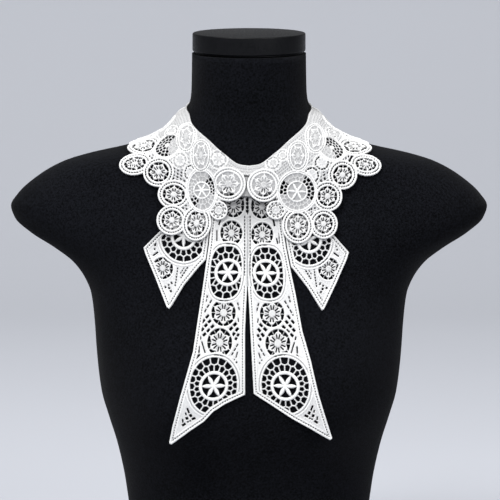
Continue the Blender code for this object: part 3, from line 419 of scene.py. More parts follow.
# Lines of dashes or slits in a tail, left side: from and to in mm, half width, pitch or 0
LEFT_FIELD = (
    (-33.3, 297.0, -41.4, 283.5, 0.52, 4.6),
    (-37.2, 301.0, -38.8, 294.5, 0.52, 3.3),
    (-35.6, 284.2, -42.8, 276.1, 0.95, 5.4),
    (-34.0, 279.6, -43.5, 269.4, 1.12, 4.63),
    (-31.1, 275.3, -41.9, 265.1, 1.12, 4.95),
    (-10.8, 277.1, -18.0, 269.8, 1.22, 5.1),
    (-9.2, 273.0, -15.6, 264.7, 1.14, 5.2),
    (-9.0, 267.8, -12.6, 261.4, 1.02, 3.67),
    (-43.8, 265.6, -43.2, 262.6, 0.55, 0),
    (-42.5, 260.8, -39.4, 251.0, 0.48, 0),
    (-44.8, 257.2, -45.0, 251.2, 0.62, 0),
    (-44.2, 249.8, -48.2, 245.8, 0.78, 0),
    (-10.4, 295.0, -8.4, 286.5, 0.52, 4.0),
    (-9.9, 281.0, -9.4, 277.4, 0.38, 0),
    (-9.6, 259.0, -16.2, 247.9, 0.50, 4.2),
    (-10.4, 251.4, -11.8, 246.6, 0.42, 0),
    (-12.9, 245.4, -13.3, 244.4, 0.45, 0),
    (-11.1, 243.2, -11.4, 241.8, 0.55, 0),
)
LEFT_TOP = (
    (-25.2, 369.0, -27.2, 362.0, 0.62, 0),
    (-33.4, 366.0, -33.8, 360.0, 0.35, 0),
    (-30.4, 368.0, -30.8, 359.0, 0.38, 0),
    (-31.8, 358.0, -31.6, 351.0, 0.35, 0),
    (-28.9, 357.5, -29.0, 348.0, 0.45, 0),
)
LEFT_TIP = (
    (-55.4, 202.9, -53.7, 198.3, 0.78, 0),
    (-52.9, 197.4, -51.8, 194.8, 1.15, 0),
    (-56.1, 194.8, -55.3, 192.4, 1.15, 0),
    (-51.4, 192.7, -48.2, 193.9, 1.05, 0),
    (-56.8, 198.8, -56.3, 196.3, 0.60, 0),
    (-59.9, 186.8, -56.9, 188.9, 1.00, 0),
    (-55.8, 189.9, -51.7, 191.8, 0.66, 2.2),
    (-59.5, 192.8, -59.2, 189.6, 0.60, 0),
)
RIGHT_TOP = (
    (21.6, 367.5, 23.2, 361.0, 0.70, 0),
    (26.6, 366.5, 27.4, 346.0, 0.35, 0),
    (24.8, 350.5, 26.0, 345.5, 0.50, 0),
)
LEFT_SLITS = LEFT_FIELD + LEFT_TOP + LEFT_TIP
RIGHT_SLITS = mirrored(LEFT_FIELD, -1.6, -0.6) + mirrored(LEFT_TIP, 1.75, 2.4) + RIGHT_TOP
LEFT_TAB_SLITS = (
    (-64.0, 325.0, -66.4, 307.6, 0.50, 2.5),
    (-54.9, 325.4, -61.4, 315.2, 0.55, 2.6),
    (-58.0, 325.0, -62.0, 319.0, 0.36, 2.4),
    (-84.3, 345.9, -84.8, 343.0, 0.80, 0),
    (-84.5, 340.9, -85.5, 340.1, 0.68, 0),
    (-86.4, 334.7, -82.0, 337.9, 0.60, 0),
    (-75.8, 307.6, -74.8, 306.2, 0.86, 0),
    (-72.3, 307.0, -71.3, 305.4, 0.90, 0),
    (-70.6, 304.4, -69.8, 302.6, 0.76, 0),
    (-72.6, 309.6, -71.8, 308.4, 0.70, 0),
    (-69.8, 311.8, -69.2, 309.8, 0.66, 0),
    (-66.2, 303.6, -72.0, 294.6, 0.60, 2.6),
)
RIGHT_TAB_SLITS = mirrored(LEFT_TAB_SLITS, -5.6, -0.6)

# Notches at the seam of the two tails: from and to in mm, half width, pitch
SEAM_HOLES = (
    (-1.5, 389.4, -1.5, 372.4, 1.15, 3.4),
    (-5.4, 388.0, -5.4, 377.0, 0.38, 3.6),
    (3.1, 388.0, 3.1, 377.0, 0.38, 3.6),
    (-3.9, 370.5, -3.9, 318.0, 0.36, 3.0),
    (1.0, 370.5, 1.0, 318.0, 0.36, 3.0),
)

# Joining stitches of the two tails, in mm
SEAM_MIDDLE = -1.3
SEAM_BOTTOM = 308.5
SEAM_TOP = 371.0
SEAM_BAND = 8.0
SEAM_STEP = 0.75
SEAM_LEAN = 0.5
SEAM_REACH = 1.3
SEAM_THREAD = 0.30
SEAM_SIDES = 6
# Each stitch: place along it from -1 to 1, and height over the cloth in mm
SEAM_ARCH = ((-1.0, -0.2), (-0.5, 0.35), (0.0, 0.5), (0.5, 0.35), (1.0, -0.2))

# Neck cap
CAP_RADIUS = 0.0518
CAP_CENTRE_Y = -0.003
CAP_DEPTH_RATIO = 0.985
CAP_GAP = 0.0003
CAP_FOOT = 0.0022
CAP_TOP = 0.5305
CAP_STEP = 0.0022
CAP_EASE = 0.0016

# Button and loop at the nape
WALL = 1.3 * MM
BUTTON_RADIUS = 5.0 * MM
BUTTON_ANGLE = 172.4
BUTTON_OUT = 5.0 * MM
SHANK_RADIUS = 1.6 * MM
SHANK_HEIGHT = 2.6 * MM
BUTTON_THICK = 2.4 * MM
LOOP_RADIUS = 2.9 * MM
LOOP_THREAD = 0.55 * MM
LOOP_LIFT = 1.6 * MM
LOOP_FOOT_ANGLE = 183.4
LOOP_POINTS = 60
LOOP_SIDES = 10
SMOOTH_TURNS = 3

# Finishes: radius that the form's weave is counted on, depths of the bumps in metres, contrast
# of the fine mottle, the painted shade between the threads of the satin, and satin of the thread
MEAN_RADIUS = 0.12
THREAD_DEPTH = 0.00018
PLY_DEPTH = 0.00015
FORM_DEPTH = 0.00012
PEARL_DEPTH = 0.00005
CAP_GRIT_DEPTH = 0.00004
FINE_MOTTLE = 3.0
PAINTED_THREAD_GAP_SHADE = (0.55, 0.55, 0.56)
DULL_THREAD = 0.85
SATIN_GLOSS = -0.2

# Studio: a floor that runs from near to far and curves up by a radius and an angle
FLOOR_NEAR = -8.0
FLOOR_FAR = 1.6
SWEEP_RADIUS = 1.2
SWEEP_ANGLE = 0.93
SWEEP_STEPS = 13
SWEEP_HALF = 8.0
# Each light has a place, a size, a power and what it points at
LIGHTS = (
    ("key_soft", (-1.1, -1.8, 3.1), (1.2, 1.2), 118.0, (0.0, 0.0, 0.33)),
    ("fill_soft", (1.7, -2.0, 1.8), (1.4, 1.4), 35.0, (0.0, 0.0, 0.33)),
    ("top_soft", (0.0, 0.3, 2.8), (2.6, 1.6), 46.0, (0.0, 0.2, 0.3)),
)
ROOM_COLOUR = (0.95, 0.97, 1.0)
ROOM_LIGHT = 0.27
SWEEP_DARK = (0.488, 0.503, 0.546)
SWEEP_LIGHT = (0.498, 0.513, 0.556)
CAMERA_PLACE = (0.0, -3.2499 + SET_BACK, 0.8147)
CAMERA_TILT = 81.5
CAMERA_LENS = 256.0
CAMERA_SENSOR = 36.0
CAMERA_SHIFT = 0.002
CAMERA_REACH = 50.0


def soft_step(t):
    """Ease from 0 to 1."""
    t = np.clip(t, 0.0, 1.0)
    return t * t * (3.0 - 2.0 * t)


def curve_slopes(x, y):
    """Slopes of a curve through the points that never overshoots them."""
    h = np.diff(x)
    d = np.diff(y) / h
    m = np.zeros_like(y)
    m[0] = d[0]
    m[-1] = d[-1]
    for i in range(1, len(y) - 1):
        if d[i - 1] * d[i] > 0:
            w1 = 2 * h[i] + h[i - 1]
            w2 = h[i] + 2 * h[i - 1]
            m[i] = (w1 + w2) / (w1 / d[i - 1] + w2 / d[i])
    return m


class Curve:
    """A smooth curve through the rows of a table."""

    def __init__(self, rows, column=1):
        table = np.array(rows, float)
        self.x = table[:, 0]
        self.y = table[:, column]
        self.m = curve_slopes(self.x, self.y)

    def __call__(self, value):
        x = np.clip(value, self.x[0], self.x[-1])
        i = np.clip(np.searchsorted(self.x, x, side="right") - 1, 0, len(self.x) - 2)
        h = self.x[i + 1] - self.x[i]
        t = (x - self.x[i]) / h
        rise = (t ** 3 - 2 * t ** 2 + t) * h * self.m[i] + (t ** 3 - t ** 2) * h * self.m[i + 1]
        return (2 * t ** 3 - 3 * t ** 2 + 1) * self.y[i] + (3 * t ** 2 - 2 * t ** 3) * self.y[i + 1] + rise


half_width = Curve(FORM_SECTIONS, 1)
front_depth = Curve(FORM_SECTIONS, 2)
back_depth = Curve(FORM_SECTIONS, 3)
neck_edge = Curve(NECK_EDGE)
lift_near = Curve(COLLAR_LIFT, 1)
lift_far = Curve(COLLAR_LIFT, 2)
lift_start = Curve(COLLAR_LIFT, 3)
ground_edge = Curve(GROUND)
under_edge = Curve(UNDER_EDGE)


def bust(x, z):
    """How far the bust stands out of the chest."""
    reach = np.where(z > BUST_HEIGHT, BUST_ABOVE, BUST_BELOW)
    sides = [np.exp(-((x - s * BUST_ACROSS) / BUST_HALF_WIDTH) ** 2 / 2) for s in (-1, 1)]
    return BUST_OUT * (sides[0] + sides[1]) * np.exp(-((z - BUST_HEIGHT) / reach) ** 2 / 2)


def form_radius(z, angle):
    """Distance of the form's surface from its upright axis, at a height and an angle."""
    c = np.cos(angle)
    s = np.sin(angle)
    depth = np.where(c > 0, front_depth(z), back_depth(z))
    power = (np.abs(s) / half_width(z)) ** SQUARENESS + (np.abs(c) / depth) ** SQUARENESS
    r = power ** (-1 / SQUARENESS)
    return r + bust(r * s, z) * np.clip(c, 0, 1)


def form_front(x, z):
    """The y of the form's front at a place across and a height."""
    u = np.clip(np.abs(x) / half_width(z), 0, 1)
    return -front_depth(z) * (1 - u ** SQUARENESS) ** (1 / SQUARENESS) - bust(x, z)


def unit(v):
    """The same directions, one long."""
    return v / np.linalg.norm(v, axis=-1, keepdims=True)


class Drape:
    """A surface kept as a grid of points and normals, read between them."""

    def __init__(self, points, outward, low, step):
        across = np.gradient(points, axis=0)
        along = np.gradient(points, axis=1)
        normal = unit(np.cross(along, across))
        facing = np.sign((normal * outward(points)).sum(-1, keepdims=True))
        self.points = points
        self.normals = normal * facing
        self.low = low
        self.step = step

    def read(self, u, v):
        i = (np.asarray(u, float) - self.low[0]) / self.step[0]
        j = (np.asarray(v, float) - self.low[1]) / self.step[1]
        i0 = np.clip(np.floor(i).astype(int), 0, self.points.shape[0] - 2)
        j0 = np.clip(np.floor(j).astype(int), 0, self.points.shape[1] - 2)
        a = (i - i0)[..., None]
        b = (j - j0)[..., None]
        found = []
        for grid in (self.points, self.normals):
            near = grid[i0, j0] * (1 - a) + grid[i0 + 1, j0] * a
            far = grid[i0, j0 + 1] * (1 - a) + grid[i0 + 1, j0 + 1] * a
            found.append(near * (1 - b) + far * b)
        return found


def collar_drape():
    """The form's surface round the neck, by angle and by distance from the neck edge."""
    degrees = np.arange(0.0, COLLAR_TURN, 1.0)
    steps = np.arange(0.0, COLLAR_REACH + COLLAR_STEP, COLLAR_STEP)
    points = np.zeros((len(degrees), len(steps), 3))
    for i, deg in enumerate(degrees):
        angle = math.radians(deg)
        top = neck_edge(min(deg, 360 - deg))
        z = np.linspace(top, LOWEST_COLLAR, COLLAR_RAYS)
        r = form_radius(z, angle)
        along = np.concatenate(([0.0], np.cumsum(np.hypot(np.diff(z), np.diff(r)))))
        rr = np.interp(steps, along, r)
        points[i, :, 0] = rr * math.sin(angle)
        points[i, :, 1] = -rr * math.cos(angle)
        points[i, :, 2] = np.interp(steps, along, z)

    def outward(p):
        return np.stack([p[..., 0], p[..., 1], np.full(p.shape[:2], 0.02)], -1)

    return Drape(points, outward, (0.0, 0.0), (1.0, COLLAR_STEP))


def blur(grid, width, axis):
    """Soften a grid along one axis by a bell of this width in cells."""
    reach = int(3 * width)
    bell = np.exp(-(np.arange(-reach, reach + 1) / width) ** 2 / 2)
    bell /= bell.sum()
    wide = np.concatenate([np.repeat(np.take(grid, [0], axis), reach, axis), grid,
                           np.repeat(np.take(grid, [-1], axis), reach, axis)], axis)
    return np.apply_along_axis(lambda row: np.convolve(row, bell, "valid"), axis, wide)


def front_drape():
    """Cloth that hangs down the front: it lies on the chest and falls straight off the bust."""
    across = np.arange(*FRONT_ACROSS, FRONT_STEP)
    height = np.arange(*FRONT_UP, FRONT_STEP)
    x, z = np.meshgrid(across, height, indexing="ij")
    skin = form_front(x, z)
    hang = np.minimum.accumulate(skin[:, ::-1], axis=1)[:, ::-1]
    bridged = np.minimum(blur(blur(hang, BRIDGE, 1), BRIDGE, 0), hang)
    eased = blur(blur(bridged, SOFTEN, 1), SOFTEN, 0)
    points = np.stack([x, eased, z], -1)

    def outward(p):
        return np.broadcast_to(np.array([0.0, -1.0, 0.0]), p.shape)

    return Drape(points, outward, (across[0], height[0]), (FRONT_STEP, FRONT_STEP))


COLLAR = collar_drape()
FRONT = front_drape()


def collar_point(uv, off, lift):
    """A point over the form, left of the front where the first value is below zero."""
    angle = uv[:, 0] / DEGREE
    side = np.where(angle < 0, -1.0, 1.0)
    base, normal = COLLAR.read(np.abs(angle), uv[:, 1])
    p = base + normal * (lift(angle, uv[:, 1]) + off)[..., None]
    p[..., 0] *= side
    p[..., 1] += SET_BACK
    return p


def fall_lift(angle, out):
    """How far the collar halves stand off the form."""
    near = lift_near(np.abs(angle))
    far = lift_far(np.abs(angle))
    rise = soft_step(out / LIFT_RISE)
    ease = soft_step((out - lift_start(np.abs(angle))) / LIFT_FALL)
    return EDGE_LIFT + rise * ((near - EDGE_LIFT) * (1 - ease) + (far - EDGE_LIFT) * ease)


def under_lift(angle, out):
    """How far the under collar stands off the form: more over the tops of the tails."""
    first, fade, reach = UNDER_RISE
    over = 1 - soft_step((np.abs(angle) - first) / fade)
    rise = soft_step((out - UNDER_START) / reach)
    return UNDER_LIFT + UNDER_OVER_TAILS * over * rise


def fall_place(uv, off):
    """Points of the collar halves, so far out from the cloth's inner face."""
    return collar_point(uv, off, fall_lift)


def under_place(uv, off):
    """Points of the inner ply, so far out from its inner face."""
    return collar_point(uv, off, under_lift)


def front_place(uv, off):
    """Points of the tails and tabs, so far out from the cloth's inner face."""
    base, normal = FRONT.read(uv[:, 0], uv[:, 1])
    p = base + normal * (TAIL_LIFT + off)[..., None]
    p[..., 1] += SET_BACK
    return p


def outline_gap(x, y, outline):
    """Distance in from a closed outline, below zero outside it, and the way round it."""
    best = np.full(len(x), 1e9)
    around = np.zeros(len(x))
    inside = np.zeros(len(x), bool)
    start = 0.0
    for (ax, ay), (bx, by) in zip(outline, outline[1:] + outline[:1]):
        dx, dy = bx - ax, by - ay
        size = math.hypot(dx, dy)
        t = np.clip(((x - ax) * dx + (y - ay) * dy) / size ** 2, 0, 1)
        gap = np.hypot(x - ax - t * dx, y - ay - t * dy)
        around = np.where(gap < best, start + t * size, around)
        best = np.minimum(best, gap)
        if ay != by:
            crosses = (ay > y) != (by > y)
            inside ^= crosses & (x < ax + (y - ay) / (by - ay) * dx)
        start += size
    return np.where(inside, best, -best), around


def beat(along, pitch, shift=0.0):
    """Distance from the nearest half step of a pitch, or with a shift of 0.5 from a whole step."""
    return np.abs((along / pitch + shift) % 1.0 - 0.5) * pitch


class Lace:
    """Cloth over a grid in its own plane: where it is, how high it stands, how its threads run.

    cover is the distance in from the cloth's edge in mm, below zero in the gaps.
    """

    def __init__(self, place, us, vs):
        u, v = np.meshgrid(us, vs, indexing="ij")
        self.place = place
        self.shape = u.shape
        self.uv = np.stack([u.ravel(), v.ravel()], 1)
        self.x = self.uv[:, 0] / MM
        self.y = self.uv[:, 1] / MM
        self.count = len(self.uv)
        self.all = np.arange(self.count)
        self.flat = place(self.uv, np.zeros(self.count))
        self.cover = np.full(self.count, -VOID)
        self.rise, self.stitch, self.satin, self.shade = np.zeros((4, self.count))

    def lay(self, at, cover, rise, stitch, satin):
        """Add cloth: it shows where it stands higher than what is there."""
        shows = (cover > 0) & ((rise >= self.rise[at]) | (self.cover[at] <= 0))
        self.cover[at] = np.maximum(self.cover[at], cover)
        self.rise[at] = np.where(shows, rise, self.rise[at])
        self.stitch[at] = np.where(shows, stitch, self.stitch[at])
        self.satin[at] = np.where(shows, satin, self.satin[at])

    def empty(self, at):
        """Take all cloth away from these places."""
        self.cover[at] = -VOID
        self.rise[at] = 0.0
        self.satin[at] = 0.0

    def cut(self, at, gap):
        """Open gaps: gap is the distance from the nearest one, below zero in it."""
        self.cover[at] = np.minimum(self.cover[at], gap)

    def cord(self, at, off, half, height, along):
        """A satin cord whose middle runs where off is zero."""
        side = np.clip(np.abs(off) / half, 0, 1)
        self.lay(at, half - np.abs(off), height * np.sqrt(1 - side ** 2), along, 1.0)

    def dots(self, at, off, along, pitch, half_long, half_wide):
        """A row of small holes in the groove where off is zero."""
        self.cut(at, np.maximum(beat(along, pitch) - half_long, np.abs(off) - half_wide))

    def keep_whole(self):
        """Drop every loose scrap that isn't joined to the cloth."""
        index = np.full(self.shape, -1)
        inside = (self.cover > 0).reshape(self.shape)
        index[inside] = np.arange(inside.sum())
        pairs = []
        for first, second in ((index[:-1], index[1:]), (index[:, :-1], index[:, 1:]),
                              (index[:-1, :-1], index[1:, 1:]), (index[1:, :-1], index[:-1, 1:])):
            both = (first >= 0) & (second >= 0)
            pairs.append(np.stack([first[both], second[both]]))
        a, b = np.concatenate(pairs, 1)
        root = np.arange(inside.sum())
        while True:
            low = np.minimum(root[a], root[b])
            fresh = root.copy()
            np.minimum.at(fresh, root[a], low)
            np.minimum.at(fresh, root[b], low)
            fresh = fresh[fresh]
            if (fresh == root).all():
                break
            root = fresh
        main = np.bincount(root).argmax()
        lost = np.flatnonzero(inside.ravel())[root != main]
        self.empty(lost)

    def cells(self):
        """The cloth cut along its edges: spots, the place each one belongs to, and faces."""
        n, m = self.shape
        own = np.flatnonzero(self.cover > 0)
        corner = np.full(n * m, -1)
        corner[own] = np.arange(len(own))
        corner = corner.reshape(n, m)
        spots = [self.uv[own]]
        owner = [own]
        count = len(own)
        crossings = []
        flat = np.arange(n * m).reshape(n, m)
        for first, second in ((flat[:-1], flat[1:]), (flat[:, :-1], flat[:, 1:])):
            a = self.cover[first]
            b = self.cover[second]
            mixed = (a > 0) != (b > 0)
            ids = np.full(first.shape, -1)
            ids[mixed] = count + np.arange(mixed.sum())
            count += int(mixed.sum())
            t = np.clip(a[mixed] / (a[mixed] - b[mixed]), EDGE_SNAP, 1 - EDGE_SNAP)[:, None]
            spots.append(self.uv[first[mixed]] * (1 - t) + self.uv[second[mixed]] * t)
            owner.append(np.where(a[mixed] > 0, first[mixed], second[mixed]))
            crossings.append(ids)
        parts = [corner[:-1, :-1], corner[1:, :-1], corner[1:, 1:], corner[:-1, 1:],
                 crossings[0][:, :-1], crossings[1][1:], crossings[0][:, 1:], crossings[1][:-1]]
        code = sum((p >= 0).astype(int) << k for k, p in enumerate(parts[:4]))
        faces = []
        for case in range(1, 16):
            labels = []
            for k in range(4):
                here = case >> k & 1
                if here:
                    labels.append(k)
                if here != case >> (k + 1) % 4 & 1:
                    labels.append(4 + k)
            hit = code == case
            faces.append(np.stack([parts[k][hit] for k in labels], 1))
        return np.concatenate(spots), np.concatenate(owner), len(own), faces

    def shell(self, name):
        """The cloth as one mesh: an outer and an inner face that meet at every edge."""
        self.keep_whole()
        spots, owner, inner, faces = self.cells()
        own = owner[:inner]
        edge = np.clip(self.cover[own] / EDGE_ROUND, 0, 1)
        swell = np.sqrt(1 - (1 - edge) ** 2)
        top_off = np.full(len(spots), EDGE_HEIGHT)
        top_off[:inner] = EDGE_HEIGHT + (CLOTH_TOP - EDGE_HEIGHT + self.rise[own]) * swell
        low_off = EDGE_HEIGHT + (CLOTH_LOW - EDGE_HEIGHT) * swell
        top = self.place(spots, top_off * MM)
        low = self.place(spots[:inner], low_off * MM)
        under = np.arange(len(spots))
        under[:inner] += len(spots)
        sample = next(f for f in faces if f.shape[1] == 4 and len(f))[0]
        a, b, c = top[sample[:3]]
        here = spots[sample[:1]]
        up = self.place(here, np.array([0.01])) - self.place(here, np.array([0.0]))
        if np.cross(b - a, c - b) @ up[0] < 0:
            faces = [f[:, ::-1] for f in faces]
        faces = faces + [under[f[:, ::-1]] for f in faces]
        whole = np.concatenate([owner, own])
        relief = np.concatenate([self.rise[owner] * (np.arange(len(owner)) < inner), self.rise[own]])
        values = {"stitch": self.stitch[whole], "satin": self.satin[whole],
                  "shade": self.shade[whole], "relief": relief}
        return make_mesh(name, np.concatenate([top, low]), faces, values)


def stand(name, data):
    """A new object in the scene with this data."""
    obj = bpy.data.objects.new(name, data)
    bpy.context.scene.collection.objects.link(obj)
    return obj


def make_mesh(name, points, faces, values=None):
    """A smooth object from arrays of faces, each array with its own number of corners."""
    mesh = bpy.data.meshes.new(name)
    faces = [np.asarray(f, np.int32) for f in faces if len(f)]
    corners = np.concatenate([f.ravel() for f in faces])
    sizes = np.concatenate([np.full(len(f), f.shape[1]) for f in faces])
    starts = np.concatenate([[0], np.cumsum(sizes)[:-1]])
    mesh.vertices.add(len(points))
    mesh.vertices.foreach_set("co", np.asarray(points, np.float32).ravel())
    mesh.loops.add(len(corners))
    mesh.loops.foreach_set("vertex_index", corners.astype(np.int32))
    mesh.polygons.add(len(sizes))
    mesh.polygons.foreach_set("loop_start", starts.astype(np.int32))
    mesh.update(calc_edges=True)
    mesh.polygons.foreach_set("use_smooth", np.ones(len(sizes), bool))
    for key, numbers in (values or {}).items():
        layer = mesh.attributes.new(key, "FLOAT", "POINT")
        layer.data.foreach_set("value", np.asarray(numbers, np.float32))
    return stand(name, mesh)


class Oval:
    """Places seen from the middle of an oval motif, in mm."""

    def __init__(self, x, y, a, b, power=2.0):
        self.x = x
        self.y = y
        self.half = (a, b)
        self.power = power
        self.size = (a + b) / 2
        self.share = self.share_at(x, y)
        self.angle = np.arctan2(y / b, x / a)
        self.inset = (1 - self.share) * np.hypot(x, y) / np.maximum(self.share, 1e-6)
        self.out = self.share * self.size
        self.around = self.angle * self.size

    def share_at(self, x, y):
        """How far out a place is: 1 on the oval."""
        a, b = self.half
        return ((np.abs(x) / a) ** self.power + (np.abs(y) / b) ** self.power) ** (1 / self.power)

    def spoke(self, count, start=0.0):
        """Distance in mm from the nearest of so many spokes."""
        return beat(self.angle - start, TURN / count, 0.5) * self.out

    def within(self, wide):
        """The smaller oval that is left inside a ring."""
        return Oval(self.x, self.y, self.half[0] - wide, self.half[1] - wide)

    def some(self, chosen):
        """The same oval for fewer places."""
        return Oval(self.x[chosen], self.y[chosen], *self.half)


def whole_pitch(size, pitch):
    """The pitch nearest to this one that goes a whole number of times round an oval."""
    return TURN * size / max(4, round(TURN * size / pitch))


def star(lace, at, oval, petals, turn=0.0, slits=True, valley=STAR_VALLEY, bulge=STAR_BULGE):
    """A star flower that fills an oval: a pair of gaps between its petals, two slits in each."""
    inside = oval.share < STAR_REACH
    at = at[inside]
    oval = oval.some(inside)
    rim = oval.size
    step = TURN / petals
    full = oval.share < 1
    within = at[full]
    valleys = oval.spoke(petals, turn + step / 2)
    lace.cover[within] = np.maximum(lace.cover[within], FIRM)
    lace.stitch[within] = oval.angle[full] * STAR_STITCH
    lace.satin[within] = STAR_SATIN
    body = np.where(oval.share < STAR_MIDDLE, STAR_DOME, np.clip(valleys / VALLEY_GROOVE, 0, 1))
    lace.rise[within] = STAR_RISE * body[full]
    wave = np.abs(np.cos((oval.angle - turn) * petals / 2)) ** bulge
    tip = rim * (valley + (STAR_TIP - valley) * wave)
    lace.cord(at, oval.out - tip + STAR_CORD, STAR_CORD, STAR_CORD_RISE, oval.around)
    bars = np.maximum(GAP_BAR - valleys, TIP_BAR - oval.spoke(petals, turn))
    lace.cut(at, np.maximum(np.maximum(tip - oval.out, oval.out - rim), bars))
    if slits:
        apart = SLIT_APART * step
        beside = np.minimum(oval.spoke(petals, turn + apart), oval.spoke(petals, turn - apart))
        ends = np.abs(oval.out - SLIT_MIDDLE * rim) - SLIT_LONG * rim
        lace.cut(at, np.maximum(beside - SLIT_HALF * rim, ends))


def double_ring(lace, at, oval, wide, pitch=0.0):
    """Two satin cords round a motif, with a row of pinholes between them where there is a pitch."""
    half = RING_SHARE * wide
    lace.lay(at, oval.inset, 0.0, oval.around, 0.0)
    lace.rise[at[(oval.inset > 0) & (oval.inset < wide)]] = 0.0
    lace.cord(at, oval.inset - half, half, CORD_RISE, oval.around)
    lace.cord(at, oval.inset - wide + half, half, SECOND_RISE, oval.around)
    if pitch:
        pitch = whole_pitch(oval.size, pitch)
        lace.dots(at, oval.inset - wide / 2, oval.around, pitch, DOT_LONG, DOT_WIDE)


def rosette(lace, at, oval):
    """A small full motif: a cord round it, a row of pinholes and a raised middle."""
    lace.lay(at, oval.inset, 0.0, oval.around, 0.0)
    lace.rise[at[oval.inset > 0]] = STAR_RISE
    lace.cord(at, oval.inset - RING_CORD, RING_CORD, CORD_RISE, oval.around)
    row = ROSETTE_ROW * oval.size
    pitch = whole_pitch(row, ROSETTE_PITCH)
    lace.dots(at, oval.out - row, oval.angle * row, pitch, DOT_LONG, ROSETTE_DOT)
    a, b = oval.half
    middle = Oval(oval.x, oval.y, a * ROSETTE_MIDDLE, b * ROSETTE_MIDDLE)
    star(lace, at, middle, ROSETTE_PETALS, 0.0, False)


def cloth_behind(lace, at, oval, spans, shade, core=0.0):
    """Close the gaps of an oval with recessed cloth in painted shade, but for spans of angles outside its
    core.
    """
    spot = np.degrees(np.arctan2(oval.y, oval.x)) % 360
    bare = np.zeros(len(at), bool)
    for first, last in spans:
        bare |= ((spot - first) % 360 < (last - first)) & (oval.out > core)
    fill = at[(lace.cover[at] <= 0) & (oval.inset > 0) & ~bare]
    # The filling cloth is recessed and given painted shade.
    lace.cover[fill] = THIN
    lace.rise[fill] = BEHIND_RISE
    lace.satin[fill] = 0.0
    lace.shade[fill] = shade


def net_seeds(oval, hub, cells, start, two_rows, shift):
    """Middles of the cells of a net: two staggered rows, or one where there is little room."""
    seeds = []
    steps = np.arange(0.0, WHEEL_REACH, WHEEL_STEP)
    for row in (0, 1):
        for k in range(cells):
            t = start + (k + 0.5 * row) * TURN / cells
            c, s = math.cos(t), math.sin(t)
            room = steps[np.argmax(oval.share_at(shift + steps * c, steps * s) >= 1)] - hub
            if row and room <= two_rows:
                continue
            share = INNER_ROW if row else OUTER_ROW if room > two_rows else ONE_ROW
            r = hub + room * share
            seeds.append((shift + r * c, r * s))
    return np.array(seeds)


def mesh_seeds(oval, rows, start):
    """Middles of cells in rings round an oval: for each ring its share of the oval and its cells."""
    a, b = oval.half
    seeds = []
    for turn, (share, cells) in enumerate(rows):
        for k in range(cells):
            t = start + (k + 0.5 * turn) * TURN / cells
            seeds.append((share * a * math.cos(t), share * b * math.sin(t)))
    return np.array(seeds)


def cell_net(lace, at, oval, thread):
    """Rings of small open cells round a small ring."""
    inside = oval.inset > 0
    at = at[inside]
    lace.empty(at)
    x, y = oval.x[inside], oval.y[inside]
    net(lace, at, x, y, mesh_seeds(oval, MESH_ROWS, MESH_START), thread, THREAD_RISE)
    along = np.arctan2(y, x) * MESH_HUB
    lace.cord(at, np.hypot(x, y) - MESH_HUB, MIDDLE_CORD, SMALL_RISE, along)


def net(lace, at, x, y, seeds, half, height):
    """Threads between the cells: they run where two middles are equally near."""
    d = np.hypot(x[:, None] - seeds[None, :, 0], y[:, None] - seeds[None, :, 1])
    near = np.argpartition(d, 1, axis=1)[:, :2]
    first = np.take_along_axis(d, near, 1).min(1)
    second = np.take_along_axis(d, near, 1).max(1)
    between = np.hypot(*(seeds[near[:, 0]] - seeds[near[:, 1]]).T)
    off = (second ** 2 - first ** 2) / (2 * between)
    lace.cord(at, off, half, height, np.hypot(x, y) * THREAD_TWIST)


def wheel(lace, at, oval, hub, cells, start, shift, kind):
    """A net wheel: two rows of open cells round a hub ring with leaf petals."""
    ring, thread, two_rows, petal = kind
    open_net = oval.inset > 0
    lace.empty(at[open_net])
    seeds = net_seeds(oval, hub + ring, cells, start, two_rows, shift)
    net(lace, at[open_net], oval.x[open_net], oval.y[open_net], seeds, thread, THREAD_RISE)
    x, y = oval.x - shift, oval.y
    r = np.hypot(x, y)
    hubbed = r < hub + ring + 1.0
    at, x, y, r = at[hubbed], x[hubbed], y[hubbed], r[hubbed]
    lace.empty(at[r < hub + ring])
    middle = hub + ring / 2
    lace.cord(at, r - middle, ring / 2, CORD_RISE, np.arctan2(y, x) * middle)
    for k in range(WHEEL_PETALS):
        turn = start + (k + 0.5) * TURN / WHEEL_PETALS
        c, s = math.cos(turn), math.sin(turn)
        along = x * c + y * s
        across = -x * s + y * c
        share = np.clip(along / (hub + PETAL_LONG), 0, 1)
        half = petal * hub * np.sin(math.pi * share) ** PETAL_BLUNT + PETAL_LEAST
        ends = np.minimum(along + PETAL_ROOT, hub + PETAL_END - along)
        rise = CORD_RISE * np.sqrt(np.clip(1 - (across / half) ** 2, 0, 1))
        lace.lay(at, np.minimum(half - np.abs(across), ends), rise, along, 1.0)


def near(lace, middle, reach):
    """The places of the cloth within reach of a point in space, and their way from it in mm."""
    d = (lace.flat - middle) / MM
    at = np.flatnonzero((np.abs(d) < reach).all(1))
    return at, d[at]


def on_cloth(lace, u, v, a, b, turn=0.0):
    """An oval laid flat on the drape round one of its points."""
    spots = np.array([[u, v], [u + MM, v], [u, v + MM]])
    centre, over, down = lace.place(spots, np.zeros(3))
    over = over - centre
    second = unit(down - centre)
    normal = unit(np.cross(over, down - centre))
    first = np.cross(second, normal)
    c = math.cos(math.radians(turn))
    s = math.sin(math.radians(turn))
    at, d = near(lace, centre, CLOTH_REACH * max(a, b))
    flat = np.abs(d @ normal) < FLAT_ENOUGH
    d = d[flat]
    return at[flat], Oval(d @ (first * c + second * s), d @ (second * c - first * s), a, b)


def in_front(lace, x, z, a, b):
    """An oval of a tail or a tab, seen from the front."""
    dx = lace.x - x
    dz = lace.y - z
    at = np.flatnonzero((np.abs(dx) < FRONT_REACH * a) & (np.abs(dz) < FRONT_REACH * b))
    return at, Oval(dx[at], dz[at], a, b)


